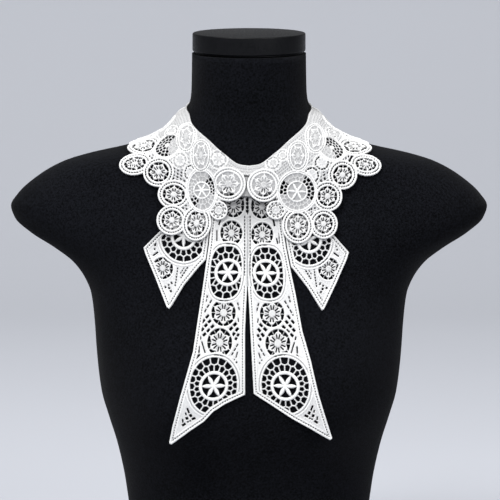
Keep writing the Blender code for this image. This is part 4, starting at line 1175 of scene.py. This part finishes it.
def corded_edge(lace, gap, around):
    """The edge of a tail or a tab: two cords with a row of pinholes between them."""
    joined = (lace.uv[:, 1] > SEAM_BOTTOM * MM) & (np.abs(lace.x - SEAM_MIDDLE) < SEAM_BAND)
    band = np.flatnonzero((gap > -2) & (gap < BORDER_WIDE + 1) & ~joined)
    gap, around = gap[band], around[band]
    inner = band[gap < BORDER_WIDE]
    lace.cover[inner] = np.maximum(lace.cover[inner], THIN)
    lace.rise[inner] = GROUND_RISE
    lace.satin[inner] = 0.0
    lace.cord(band, gap - BORDER_CORD, BORDER_CORD, CORD_RISE, around)
    lace.cord(band, gap - BORDER_WIDE + BORDER_SECOND, BORDER_SECOND, BORDER_SECOND_RISE, around)
    lace.dots(band, gap - BORDER_GROOVE, around, BORDER_PITCH, BORDER_DOT_LONG, BORDER_DOT_WIDE)


def fall(name, outline, flowers, wheels, slits, start, shaded):
    """A tail or a tab: solid ground with flowers, net wheels, slits and a corded edge."""
    rim = np.array(outline)
    low = rim.min(0) - 2 * FALL_PITCH
    high = rim.max(0) + 2 * FALL_PITCH
    across, up = (np.arange(low[k], high[k], FALL_PITCH) * MM for k in (0, 1))
    lace = Lace(front_place, across, up)
    gap, around = outline_gap(lace.x, lace.y, outline)
    lace.lay(lace.all, gap, GROUND_RISE, lace.y, GROUND_SATIN)
    for row in slits:
        slit_line(lace, *row)
    for x, z, a, b, petals in flowers:
        at, oval = in_front(lace, x, z, a, b)
        star(lace, at, oval.within(FLOWER_RING), petals, FLOWER_START)
        half = FLOWER_RING / 2
        lace.cord(at, oval.inset - half, half, SMALL_RISE, oval.around)
    for x, z, a, b, hub, cells, power, lean, shift in wheels:
        at, oval = in_front(lace, x, z, a + WHEEL_MARGIN, b + WHEEL_MARGIN)
        oval = Oval(oval.x - lean * oval.y, oval.y, a, b, power)
        lace.rise[at[(oval.inset < 0) & (oval.inset > -BAND_WIDE)]] = 0.0
        for middle in (BAND_CORD, BAND_WIDE - BAND_CORD):
            lace.cord(at, oval.inset + middle, BAND_CORD, SECOND_RISE, oval.around)
        wheel(lace, at, oval, hub, cells, math.radians(start), shift, TAIL_NET)
    corded_edge(lace, gap, around)
    for row in SEAM_HOLES:
        slit_line(lace, *row)
    lace.cover = np.minimum(lace.cover, gap)
    most, first, fade = shaded
    groove = GROOVE_SHADE * (lace.rise < GROOVE_LOW)
    lace.shade = np.maximum(most * soft_step((lace.y - first) / fade), groove)
    return lace.shell(name)


def lattice(lace, middle_x, middle_y, wide, high, turn):
    """Small square holes in rows over a rectangle, turned by an angle in degrees."""
    c = math.cos(math.radians(turn))
    s = math.sin(math.radians(turn))
    dx = lace.x - middle_x
    dy = lace.y - middle_y
    at = np.flatnonzero((np.abs(dx) < wide) & (np.abs(dy) < high) & (lace.cover > -VOID))
    lace.cover[at] = FIRM
    a = beat(dx[at] * c + dy[at] * s, LATTICE_PITCH, 0.5)
    b = beat(dy[at] * c - dx[at] * s, LATTICE_PITCH, 0.5)
    lace.cut(at, np.maximum(a, b) - LATTICE_HOLE)
    lace.rise[at] = LATTICE_RISE * np.clip(np.minimum(a, b) - LATTICE_HOLE, 0, 1)


def slit_line(lace, x0, z0, x1, z1, half, pitch):
    """A line of dashes, or one slit where the pitch is nothing."""
    dx, dz = x1 - x0, z1 - z0
    size = math.hypot(dx, dz)
    along = ((lace.x - x0) * dx + (lace.y - z0) * dz) / size
    off = np.abs((lace.x - x0) * dz - (lace.y - z0) * dx) / size
    at = np.flatnonzero((along > -1) & (along < size + 1) & (off < 2))
    gap = np.maximum(np.abs(along[at] - size / 2) - size / 2, off[at] - half)
    if pitch:
        gap = np.maximum(gap, beat(along[at], pitch) - pitch * DASH_SHARE)
    lace.cut(at, gap)


def collar_motif(lace, at, oval, angle, dist, kind, side):
    """Fill one oval of the collar: a net wheel, a small net, a rosette or a star flower."""
    if kind == "net":
        double_ring(lace, at, oval, NET_RING)
        inner = oval.within(NET_RING)
        hub = COLLAR_HUB * min(oval.half)
        wheel(lace, at, inner, hub, COLLAR_CELLS, COLLAR_START, 0.0, COLLAR_NET)
        cloth_behind(lace, at, inner, BARE_WHEEL[side], BEHIND_SHADE, hub + COLLAR_NET[0])
    elif kind == "mesh":
        double_ring(lace, at, oval, NET_RING)
        inner = oval.within(NET_RING)
        cell_net(lace, at, inner, COLLAR_NET[1])
        if dist > MESH_CLOTH:
            cloth_behind(lace, at, inner, BARE_MESH[side], MESH_SHADE)
    elif kind == "rosette":
        rosette(lace, at, oval)
    else:
        wide, petals, valley, bulge, slits, pitch = COLLAR_STARS[kind]
        start = BUD_START if kind == "bud" else math.radians(angle * 3)
        double_ring(lace, at, oval, wide, pitch)
        star(lace, at, oval.within(wide), petals, start, slits, valley, bulge)
        if kind == "oval" or (kind == "bud" and dist < NECK_CLOTH):
            cloth_behind(lace, at, oval, (), OVAL_SHADE)
        elif kind == "bloom" and dist < BLOOM_CLOTH:
            cloth_behind(lace, at, oval, BARE_BLOOM, BLOOM_SHADE)


def collar_half(name, side, rows):
    """One half of the collar: net ground, stars, wheels and a rolled neck edge."""
    centre = CENTRE_FRONT * DEGREE + side * SEAM / 2
    low = min(centre, side * BACK_OPENING * DEGREE)
    fine = np.arange(0, 90 * DEGREE, COLLAR_PITCH_FRONT * MM)
    coarse = np.arange(90 * DEGREE, 180 * DEGREE, COLLAR_PITCH_BACK * MM)
    start = centre - side * COLLAR_PITCH_FRONT * MM
    us = np.sort(start + side * np.concatenate([fine, coarse]))
    vs = np.arange(-COLLAR_PITCH_DOWN, COLLAR_REACH / MM, COLLAR_PITCH_DOWN) * MM
    lace = Lace(fall_place, us, vs)
    u, v = lace.x, lace.y
    room = ground_edge(np.abs(lace.uv[:, 0]) / DEGREE) - v
    lace.lay(lace.all, room, COLLAR_GROUND, v, GROUND_SATIN)
    ground = np.flatnonzero((v > NECK_GROUND) & (lace.cover > 0))
    row = np.floor(v[ground] / GROUND_PITCH)
    holes = beat(u[ground], GROUND_PITCH, row * 0.5) + beat(v[ground], GROUND_PITCH)
    lace.cut(ground, holes - GROUND_HOLE)
    pinholes = np.zeros(lace.count, bool)
    pinholes[ground[(lace.cover[ground] <= 0) & (v[ground] < NECK_CLOTH)]] = True
    for angle, dist, wide, high, turn in LATTICES:
        lattice(lace, side * angle * DEGREE / MM, dist, wide, high, side * turn)
    buds_first = sorted(rows, key=lambda row: row[5] != "bud")
    for angle, dist, a, b, turn, kind in list(BACK_ROUNDS) + buds_first:
        at, oval = on_cloth(lace, side * angle * DEGREE, dist * MM, a, b, side * turn)
        whole = at[oval.inset > 0]
        lace.empty(whole)
        pinholes[whole] = False
        collar_motif(lace, at, oval, angle, dist, kind, side)
    # Painted shade near the neck: the ground's pinholes are closed with recessed cloth in painted shade,
    # and low cloth gets painted shade too.
    closed = np.flatnonzero(pinholes & (lace.cover <= 0))
    lace.cover[closed] = THIN
    lace.rise[closed] = BEHIND_RISE
    lace.shade[closed] = GROUND_SHADE
    low_in_painted_shade = (v < NECK_CLOTH) & (lace.rise < NECK_LOW) & (lace.cover > 0)
    lace.shade[low_in_painted_shade] = np.maximum(lace.shade[low_in_painted_shade], NECK_SHADE)
    neck = np.flatnonzero((v > -1) & (v < ROLL_WIDE + 1))
    band = neck[v[neck] < ROLL_WIDE]
    lace.cover[band] = FIRM
    lace.rise[band] = 0.0
    lace.cord(neck, v[neck] - ROLL_WIDE / 2, ROLL_WIDE / 2, ROLL_RISE, u[neck])
    # Only the end at the lower angle is cut and corded: the other runs to the end of its grid
    end = (lace.uv[:, 0] - low) / MM
    strip = np.flatnonzero((end < END_WIDE) & (lace.cover > 0) & (room > 0))
    lace.cover[strip] = np.maximum(lace.cover[strip], THIN)
    lace.cord(strip, end[strip] - END_CORD, END_CORD, SMALL_RISE, v[strip])
    lace.cover = np.minimum(np.minimum(lace.cover, v), end)
    return lace.shell(name)


def under_cloth():
    """The plain inner ply of the collar, which shows through the gaps near the neck."""
    turn = UNDER_OPENING * DEGREE
    us = np.linspace(-turn - UNDER_PITCH * MM, turn + UNDER_PITCH * MM, UNDER_ACROSS)
    vs = np.arange(UNDER_START / MM - UNDER_PITCH, UNDER_DEEP, UNDER_PITCH) * MM
    lace = Lace(under_place, us, vs)
    out = np.abs(lace.uv[:, 0])
    inside = np.minimum(lace.y - UNDER_START / MM, under_edge(out / DEGREE) - lace.y)
    lace.lay(lace.all, np.minimum(inside, (turn - out) / MM), 0.0, lace.x, 0.0)
    return lace.shell("under_collar_cloth")


def tube_faces(rows, n):
    """The faces of a closed tube: between its rings of n points, then over both ends."""
    k = np.arange((rows - 1) * n)
    ahead = k - k % n + (k % n + 1) % n
    quads = np.stack([k, ahead, ahead + n, k + n], 1)
    return [quads, np.arange(n)[::-1][None], ((rows - 1) * n + np.arange(n))[None]]


def smooth_form():
    """The dress form as a fine loft through its sections, flat under its base and on its neck."""
    heights = [np.linspace(low, high, count)[:-1] for low, high, count in FORM_RINGS]
    heights = np.concatenate(heights + [[NECK_TOP]])
    angles = np.arange(FORM_SIDES) * TURN / FORM_SIDES
    c = np.cos(angles)
    s = np.sin(angles)
    rings = []
    for z in heights:
        depth = np.where(s < 0, front_depth(z), back_depth(z))
        x = half_width(z) * np.sign(c) * np.abs(c) ** (2 / SQUARENESS)
        y = depth * np.sign(s) * np.abs(s) ** (2 / SQUARENESS)
        y = y - np.where(s < 0, bust(x, z) * np.clip(-s * 3, 0, 1), 0.0) + SET_BACK
        rings.append(np.stack([x, y, np.full(len(x), z)], 1))
    faces = tube_faces(len(heights), FORM_SIDES)
    form = make_mesh("dress_form_cover", np.concatenate(rings), faces)
    for end in list(form.data.polygons)[-2:]:
        end.use_smooth = False
    return form


def turned(name, profile, n, ratio=1.0):
    """A turned piece from a half profile that runs from the top's middle down to the foot's middle."""
    rows = [p for p in profile if p[0] > 0]
    angles = np.arange(n) * TURN / n
    c, s = np.cos(angles), np.sin(angles)
    rings = [np.stack([r * c, ratio * r * s, np.full(n, z)], 1) for r, z in rows]
    ends = np.array([[0, 0, profile[0][1]], [0, 0, profile[-1][1]]])
    points = np.concatenate(rings + [ends])
    quads = tube_faces(len(rows), n)[0][:, [0, 3, 2, 1]]
    i = np.arange(n)
    ahead = (i + 1) % n
    last = (len(rows) - 1) * n
    top = np.stack([np.full(n, len(points) - 2), i, ahead], 1)
    foot = np.stack([np.full(n, len(points) - 1), last + ahead, last + i], 1)
    return make_mesh(name, points, [quads, top, foot])


def eased(corners, radius, steps):
    """A profile whose inner corners are rounded."""
    out = [corners[0]]
    for corner in zip(corners, corners[1:], corners[2:]):
        before, here, after = np.array(corner, float)
        ends = []
        for other in (before, after):
            size = np.linalg.norm(other - here)
            ends.append(here + (other - here) / size * min(radius, size / 2))
        for t in np.arange(steps + 1) / steps:
            out.append(tuple((1 - t) ** 2 * ends[0] + 2 * t * (1 - t) * here + t ** 2 * ends[1]))
    return out + [corners[-1]]


def thread_tube(route, radius, sides):
    """A round thread along a route of points, closed at both ends."""
    route = np.asarray(route, float)
    ahead = unit(np.gradient(route, axis=0))
    side = np.zeros_like(route)
    axis = np.array([0.0, 0.0, 1.0]) if abs(ahead[0][2]) < 0.9 else np.array([1.0, 0.0, 0.0])
    here = np.cross(ahead[0], axis)
    for i, along in enumerate(ahead):
        here = here - along * (here @ along)
        here = here / np.linalg.norm(here)
        side[i] = here
    other = np.cross(ahead, side)
    t = np.arange(sides) * TURN / sides
    c, s = np.cos(t)[:, None], np.sin(t)[:, None]
    rings = [p + radius * (c * a + s * b) for p, a, b in zip(route, side, other)]
    return np.concatenate(rings), tube_faces(len(route), sides)


def smooth_route(points, count):
    """A curve through points, read at so many places."""
    points = np.asarray(points, float)
    along = np.concatenate([[0], np.cumsum(np.linalg.norm(np.diff(points, axis=0), axis=1))])
    at = np.linspace(0, along[-1], count)
    out = np.stack([np.interp(at, along, points[:, k]) for k in range(3)], 1)
    for _ in range(SMOOTH_TURNS):
        out[1:-1] = (out[:-2] + 2 * out[1:-1] + out[2:]) / 4
    return out


def seam_stitches():
    """The cross stitches that join the two tails above their slit."""
    points = []
    faces = []
    count = 0
    for k, z in enumerate(np.arange(SEAM_BOTTOM, SEAM_TOP, SEAM_STEP)):
        lean = SEAM_LEAN * (-1) ** k
        route = np.array([(SEAM_MIDDLE + SEAM_REACH * t, z + lean * t, out) for t, out in SEAM_ARCH])
        route = front_place(route[:, :2] * MM, (CLOTH_TOP + route[:, 2]) * MM)
        more, own = thread_tube(route, SEAM_THREAD * MM, SEAM_SIDES)
        faces += [f + count for f in own]
        points.append(more)
        count += len(more)
    return make_mesh("centre_seam_stitches", np.concatenate(points), faces)


def nape_button():
    """The button on one edge of the back opening and the loop from the other edge."""
    step = 0.5 * MM
    seat = np.array([[BUTTON_ANGLE * DEGREE, BUTTON_OUT]])
    face = np.array([WALL + SEAM])
    foot = fall_place(seat, face)[0]
    over = fall_place(seat + [[step, 0.0]], face)[0] - foot
    down = fall_place(seat + [[0.0, step]], face)[0] - foot
    out = unit(np.cross(over, down))
    out = out * np.sign(out[1])
    across = unit(over)
    r = BUTTON_RADIUS
    lid = SHANK_HEIGHT + BUTTON_THICK
    profile = [(0.0, lid - 0.5 * MM), (r - 2.0 * MM, lid - 0.45 * MM), (r - 1.3 * MM, lid),
               (r - 0.5 * MM, lid), (r, lid - 0.8 * MM), (r - 0.4 * MM, lid - 1.8 * MM),
               (SHANK_RADIUS, SHANK_HEIGHT), (SHANK_RADIUS, 0.0), (0.0, 0.0)]
    button = turned("nape_button", eased(profile, 0.4 * MM, 3), BUTTON_SIDES)
    basis = np.stack([across, np.cross(out, across), out], 1)
    for vertex in button.data.vertices:
        vertex.co = basis @ np.array(vertex.co) + foot
    reach = (LOOP_FOOT_ANGLE - BUTTON_ANGLE) * DEGREE
    wide = LOOP_RADIUS * (step / np.linalg.norm(over))
    start = [(reach, -LOOP_RADIUS * 0.5), (reach * 0.55, -LOOP_RADIUS * 0.9)]
    bow = [(-wide * math.sin(a), -LOOP_RADIUS * math.cos(a)) for a in np.linspace(0, math.pi, 11)]
    spots = start + bow + [(x, -y) for x, y in start[::-1]]
    route = fall_place(seat + np.array(spots), np.full(len(spots), WALL + LOOP_LIFT))
    points, faces = thread_tube(smooth_route(route, LOOP_POINTS), LOOP_THREAD, LOOP_SIDES)
    return button, make_mesh("nape_loop", points, faces)


def material(name):
    """A new material with its shader."""
    mat = bpy.data.materials.new(name)
    mat.use_nodes = True
    return mat, mat.node_tree, mat.node_tree.nodes["Principled BSDF"]


def put(tree, kind, **settings):
    """A node with its settings: names of sockets or of properties."""
    node = tree.nodes.new(kind)
    for key, value in settings.items():
        if key in node.inputs:
            node.inputs[key].default_value = value
        else:
            setattr(node, key, value)
    return node


def maths(tree, operation, *values):
    """A maths node fed by sockets or numbers."""
    node = put(tree, "ShaderNodeMath", operation=operation)
    for slot, value in zip(node.inputs, values):
        if isinstance(value, (int, float)):
            slot.default_value = value
        else:
            tree.links.new(value, slot)
    return node.outputs[0]


def noise(tree, spot, scale, detail, distortion=0.0):
    """Cloudy noise at a place, from 0 to 1."""
    node = put(tree, "ShaderNodeTexNoise", Scale=scale, Detail=detail, Distortion=distortion)
    tree.links.new(spot, node.inputs["Vector"])
    return node.outputs["Fac"]


def own_place(tree):
    """Where a point is on its own object."""
    return put(tree, "ShaderNodeTexCoord").outputs["Object"]


def blend_colour(tree, factor, first, second):
    """A mix of two colours by a mask."""
    node = put(tree, "ShaderNodeMix", data_type="RGBA")
    tree.links.new(factor, node.inputs["Factor"])
    for slot, value in ((node.inputs[6], first), (node.inputs[7], second)):
        if isinstance(value, tuple):
            slot.default_value = (*value, 1.0)
        else:
            tree.links.new(value, slot)
    return node.outputs[2]


def new_group(name, inputs, outputs):
    """A shader node group with named number sockets."""
    tree = bpy.data.node_groups.new(name, "ShaderNodeTree")
    for label, value in inputs:
        socket = tree.interface.new_socket(label, in_out="INPUT", socket_type="NodeSocketFloat")
        socket.default_value = value
    for label in outputs:
        tree.interface.new_socket(label, in_out="OUTPUT", socket_type="NodeSocketFloat")
    return tree, tree.nodes.new("NodeGroupInput").outputs, tree.nodes.new("NodeGroupOutput").inputs


def satin_threads():
    """Fine threads laid side by side: their height and the painted shade between them."""
    tree, given, out = new_group("satin_threads", (("Along", 0.0), ("Pitch", 0.4), ("Wobble", 0.08)),
                                 ("Height", "Painted gap shade"))
    fine = noise(tree, own_place(tree), 900.0, 2.0)
    shift = maths(tree, "MULTIPLY", maths(tree, "SUBTRACT", fine, 0.5), given["Wobble"])
    along = maths(tree, "ADD", given["Along"], shift)
    turn = maths(tree, "DIVIDE", along, given["Pitch"])
    wave = maths(tree, "COSINE", maths(tree, "MULTIPLY", turn, TURN))
    height = maths(tree, "MULTIPLY_ADD", wave, 0.5, 0.5)
    # Mask of the painted shade between the threads.
    gap = maths(tree, "SMOOTH_MIN", maths(tree, "SUBTRACT", 0.35, height), 0.35, 0.05)
    tree.links.new(height, out["Height"])
    tree.links.new(maths(tree, "MAXIMUM", gap, 0.0), out["Painted gap shade"])
    return tree


def woven_grain():
    """A fine over and under weave with slubs: its height and a mottled mask."""
    tree, given, out = new_group("woven_grain", (("Threads per metre", 2000.0), ("Slub", 0.3)),
                                 ("Height", "Mottle"))
    spot = own_place(tree)
    parts = put(tree, "ShaderNodeSeparateXYZ")
    tree.links.new(spot, parts.inputs[0])
    x, y, z = parts.outputs
    ring = maths(tree, "ARCTAN2", x, maths(tree, "MULTIPLY", y, -1.0))
    count = maths(tree, "MULTIPLY", given["Threads per metre"], TURN / 2)
    waves = [maths(tree, "ABSOLUTE", maths(tree, "SINE", maths(tree, "MULTIPLY", along, count)))
             for along in (maths(tree, "MULTIPLY", ring, MEAN_RADIUS), z)]
    slub = maths(tree, "MULTIPLY", noise(tree, spot, 220.0, 3.0), given["Slub"])
    height = maths(tree, "ADD", maths(tree, "MULTIPLY", *waves), slub)
    broad = noise(tree, spot, 9.0, 4.0)
    fine = maths(tree, "MULTIPLY", noise(tree, spot, 620.0, 2.0), FINE_MOTTLE)
    mottle = maths(tree, "SUBTRACT", maths(tree, "ADD", broad, fine), FINE_MOTTLE / 2)
    tree.links.new(height, out["Height"])
    tree.links.new(mottle, out["Mottle"])
    return tree


def group_node(tree, group, **values):
    """A node group set to these values."""
    node = tree.nodes.new("ShaderNodeGroup")
    node.node_tree = group
    for key, value in values.items():
        node.inputs[key.replace("_", " ")].default_value = value
    return node


def coat(tree, shader, tone, height, depth, strength, **values):
    """Give the shader its colour, a bump from a height in metres, and its numbers."""
    tree.links.new(tone, shader.inputs["Base Color"])
    bump = put(tree, "ShaderNodeBump", Strength=strength, Distance=depth)
    tree.links.new(height, bump.inputs["Height"])
    tree.links.new(bump.outputs["Normal"], shader.inputs["Normal"])
    for key, value in values.items():
        shader.inputs[key.replace("_", " ")].default_value = value


def lace_finish(name, threads, bright, low_in_painted_shade, painted_shade_tone):
    """White embroidery thread, bright on the cords, with painted shade that makes it greyer in the
    grooves, on the ground, between its threads and where shade is painted.
    """
    mat, tree, shader = material(name)
    stitch, satin, relief, shade = (
        put(tree, "ShaderNodeAttribute", attribute_name=key).outputs["Fac"]
        for key in ("stitch", "satin", "relief", "shade"))
    laid = group_node(tree, threads, Pitch=SATIN_PITCH, Wobble=0.10)
    tree.links.new(stitch, laid.inputs["Along"])
    # Painted shade: the lower the cloth stands, the greyer its colour.
    lift = maths(tree, "MAXIMUM", maths(tree, "MULTIPLY", relief, 1.25), 0.0)
    tone = blend_colour(tree, maths(tree, "MINIMUM", lift, 1.0), low_in_painted_shade, bright)
    gap = maths(tree, "MULTIPLY", laid.outputs["Painted gap shade"], maths(tree, "MULTIPLY_ADD", satin, 0.5, 0.2))
    # Painted shade between the satin threads.
    tone = blend_colour(tree, gap, tone, tuple(c * share for c, share in zip(bright, PAINTED_THREAD_GAP_SHADE)))
    # Painted shade: mixed towards a dark tone where the shade attribute is set.
    tone = blend_colour(tree, shade, tone, painted_shade_tone)
    rough = maths(tree, "MULTIPLY_ADD", satin, SATIN_GLOSS, DULL_THREAD)
    tree.links.new(rough, shader.inputs["Roughness"])
    coat(tree, shader, tone, laid.outputs["Height"], THREAD_DEPTH, 0.55,
         Specular_IOR_Level=0.35, Sheen_Weight=0.12)
    return mat


def cloth_finish(name, weave, colour, count, depth, mottled, **values):
    """A woven cloth of one colour, a little uneven."""
    mat, tree, shader = material(name)
    grain = group_node(tree, weave, Threads_per_metre=count, Slub=0.35)
    dark = tuple(c * (1 - mottled) for c in colour)
    tone = blend_colour(tree, grain.outputs["Mottle"], dark, colour)
    coat(tree, shader, tone, grain.outputs["Height"], depth, 0.5, **values)
    return mat


def cap_finish(weave):
    """Black satin plastic with faint handling marks."""
    mat, tree, shader = material("neck_cap_black")
    mottle = group_node(tree, weave, Threads_per_metre=300.0, Slub=1.0).outputs["Mottle"]
    tone = blend_colour(tree, mottle, (0.0022, 0.0024, 0.0032), (0.0034, 0.0036, 0.0046))
    tree.links.new(maths(tree, "MULTIPLY_ADD", mottle, 0.2, 0.32), shader.inputs["Roughness"])
    grit = noise(tree, own_place(tree), 1800.0, 2.0)
    coat(tree, shader, tone, grit, CAP_GRIT_DEPTH, 0.4, Specular_IOR_Level=0.14)
    return mat


def pearl_finish():
    """Warm white pearl with soft clouds in it."""
    mat, tree, shader = material("button_pearl_shell")
    cloud = noise(tree, own_place(tree), 420.0, 3.0, 1.2)
    tone = blend_colour(tree, cloud, (0.86, 0.82, 0.78), (0.74, 0.78, 0.80))
    coat(tree, shader, tone, cloud, PEARL_DEPTH, 0.3, Roughness=0.22, Coat_Weight=0.5)
    return mat


def backdrop():
    """Plain pale floor that sweeps up behind."""
    profile = [(FLOOR_NEAR, 0.0), (FLOOR_FAR, 0.0)]
    for a in np.linspace(0, SWEEP_ANGLE, SWEEP_STEPS)[1:]:
        up = SWEEP_RADIUS - SWEEP_RADIUS * math.cos(a)
        profile.append((FLOOR_FAR + SWEEP_RADIUS * math.sin(a), up))
    points = [(x, y, z) for y, z in profile for x in (-SWEEP_HALF, SWEEP_HALF)]
    quads = np.array([(2 * k, 2 * k + 1, 2 * k + 3, 2 * k + 2) for k in range(len(profile) - 1)])
    sweep = make_mesh("studio_sweep", np.array(points), [quads])
    mat, tree, shader = material("sweep_paper")
    tone = blend_colour(tree, noise(tree, own_place(tree), 3.0, 2.0), SWEEP_DARK, SWEEP_LIGHT)
    tree.links.new(tone, shader.inputs["Base Color"])
    shader.inputs["Roughness"].default_value = 0.9
    shader.inputs["Specular IOR Level"].default_value = 0.1
    sweep.data.materials.append(mat)


def studio():
    """The backdrop, soft lights, the room's own light and the camera."""
    backdrop()
    for name, place, size, power, aim in LIGHTS:
        data = bpy.data.lights.new(name, "AREA")
        data.shape = "RECTANGLE"
        data.size, data.size_y = size
        data.energy = power
        lamp = stand(name, data)
        lamp.location = place
        way = np.array(aim) - np.array(place)
        lamp.rotation_euler = (math.acos(-way[2] / np.linalg.norm(way)), 0.0, math.atan2(-way[0], way[1]))
    world = bpy.data.worlds.new("soft_room")
    world.use_nodes = True
    room = world.node_tree.nodes["Background"].inputs
    room["Color"].default_value = (*ROOM_COLOUR, 1.0)
    room["Strength"].default_value = ROOM_LIGHT
    data = bpy.data.cameras.new("camera")
    data.lens = CAMERA_LENS
    data.sensor_width = CAMERA_SENSOR
    data.shift_x = CAMERA_SHIFT
    data.clip_end = CAMERA_REACH
    camera = stand("camera", data)
    camera.location = CAMERA_PLACE
    camera.rotation_euler = (math.radians(CAMERA_TILT), 0.0, 0.0)
    scene = bpy.context.scene
    scene.world = world
    scene.camera = camera
    scene.view_settings.view_transform = "Standard"


def dress(piece, finish, slot, *nodes):
    """Give a piece its finish, tie it to the part and let it stand for its solids."""
    piece.data.materials.append(finish)
    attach(piece, "root")
    if nodes:
        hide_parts(*nodes)
    return piece


studio()
threads = satin_threads()
weave = woven_grain()
# The thread's own white, then the painted shade of low places, then the painted shade where the shade
# attribute is set.
lace_white = lace_finish("lace_white_thread", threads, (0.88, 0.88, 0.87), (0.55, 0.55, 0.555),
                         (0.24, 0.24, 0.245))
# The ply is white cloth; its grey colour is painted shade for where it lies under the collar.
under_ply_in_painted_shade = cloth_finish("under_ply_cotton_in_painted_shade", weave, (0.34, 0.34, 0.34), 1400.0, PLY_DEPTH, 0.06,
                           Roughness=0.9, Specular_IOR_Level=0.2, Sheen_Weight=0.1)
form_black = cloth_finish("form_cover_black", weave, (0.0058, 0.0064, 0.0086), 1300.0, FORM_DEPTH, 0.80,
                          Roughness=0.95, Specular_IOR_Level=0.03, Sheen_Weight=0.022)
cap_black = cap_finish(weave)
pearl = pearl_finish()

dress(smooth_form(), form_black, "form_cloth", "dress_form")
foot = NECK_TOP + CAP_GAP
step = CAP_RADIUS - CAP_STEP
cap_profile = [(0.0, CAP_TOP), (CAP_RADIUS, CAP_TOP), (CAP_RADIUS, foot + CAP_FOOT),
               (step, foot + CAP_FOOT), (step, foot), (0.0, foot)]
cap = turned("neck_cap_lid", eased(cap_profile, CAP_EASE, 6), CAP_SIDES, CAP_DEPTH_RATIO)
for vertex in cap.data.vertices:
    vertex.co.y += CAP_CENTRE_Y + SET_BACK
dress(cap, cap_black, "form_cap", "neck_cap")

laces = (
    (collar_half("collar_left_lace", -1, LEFT_ROUNDS),
     "collar_left", (0.100, 0.235), 0.0150, ["under_collar", "dress_form"]),
    (collar_half("collar_right_lace", 1, RIGHT_ROUNDS),
     "collar_right", (0.100, 0.235), 0.0150, ["under_collar", "dress_form"]),
    (fall("tail_left_lace", LEFT_TAIL, LEFT_FLOWERS, LEFT_WHEELS, LEFT_SLITS, 90, TAIL_SHADE),
     "tail_left", (0.070, 0.240), 0.0090, ["dress_form"]),
    (fall("tail_right_lace", RIGHT_TAIL, RIGHT_FLOWERS, RIGHT_WHEELS, RIGHT_SLITS, 90, TAIL_SHADE),
     "tail_right", (0.077, 0.236), 0.0090, ["dress_form"]),
    (fall("tab_left_lace", LEFT_TAB, LEFT_TAB_FLOWER, LEFT_TAB_WHEEL, LEFT_TAB_SLITS, 60, TAB_SHADE),
     "tab_left", (0.058, 0.085), 0.0026, ["dress_form"]),
    (fall("tab_right_lace", RIGHT_TAB, RIGHT_TAB_FLOWER, RIGHT_TAB_WHEEL, RIGHT_TAB_SLITS, 60, TAB_SHADE),
     "tab_right", (0.056, 0.086), 0.0026, ["dress_form"]),
)
for piece, node, flat, area, under in laces:
    dress(piece, lace_white, "lace_white", node)
ply = dress(under_cloth(), under_ply_in_painted_shade, "lace_under", "under_collar")
dress(seam_stitches(), lace_white, "lace_white")
button, loop = nape_button()
dress(button, pearl, "button_pearl", "back_button")
dress(loop, lace_white, "lace_white", "button_loop")
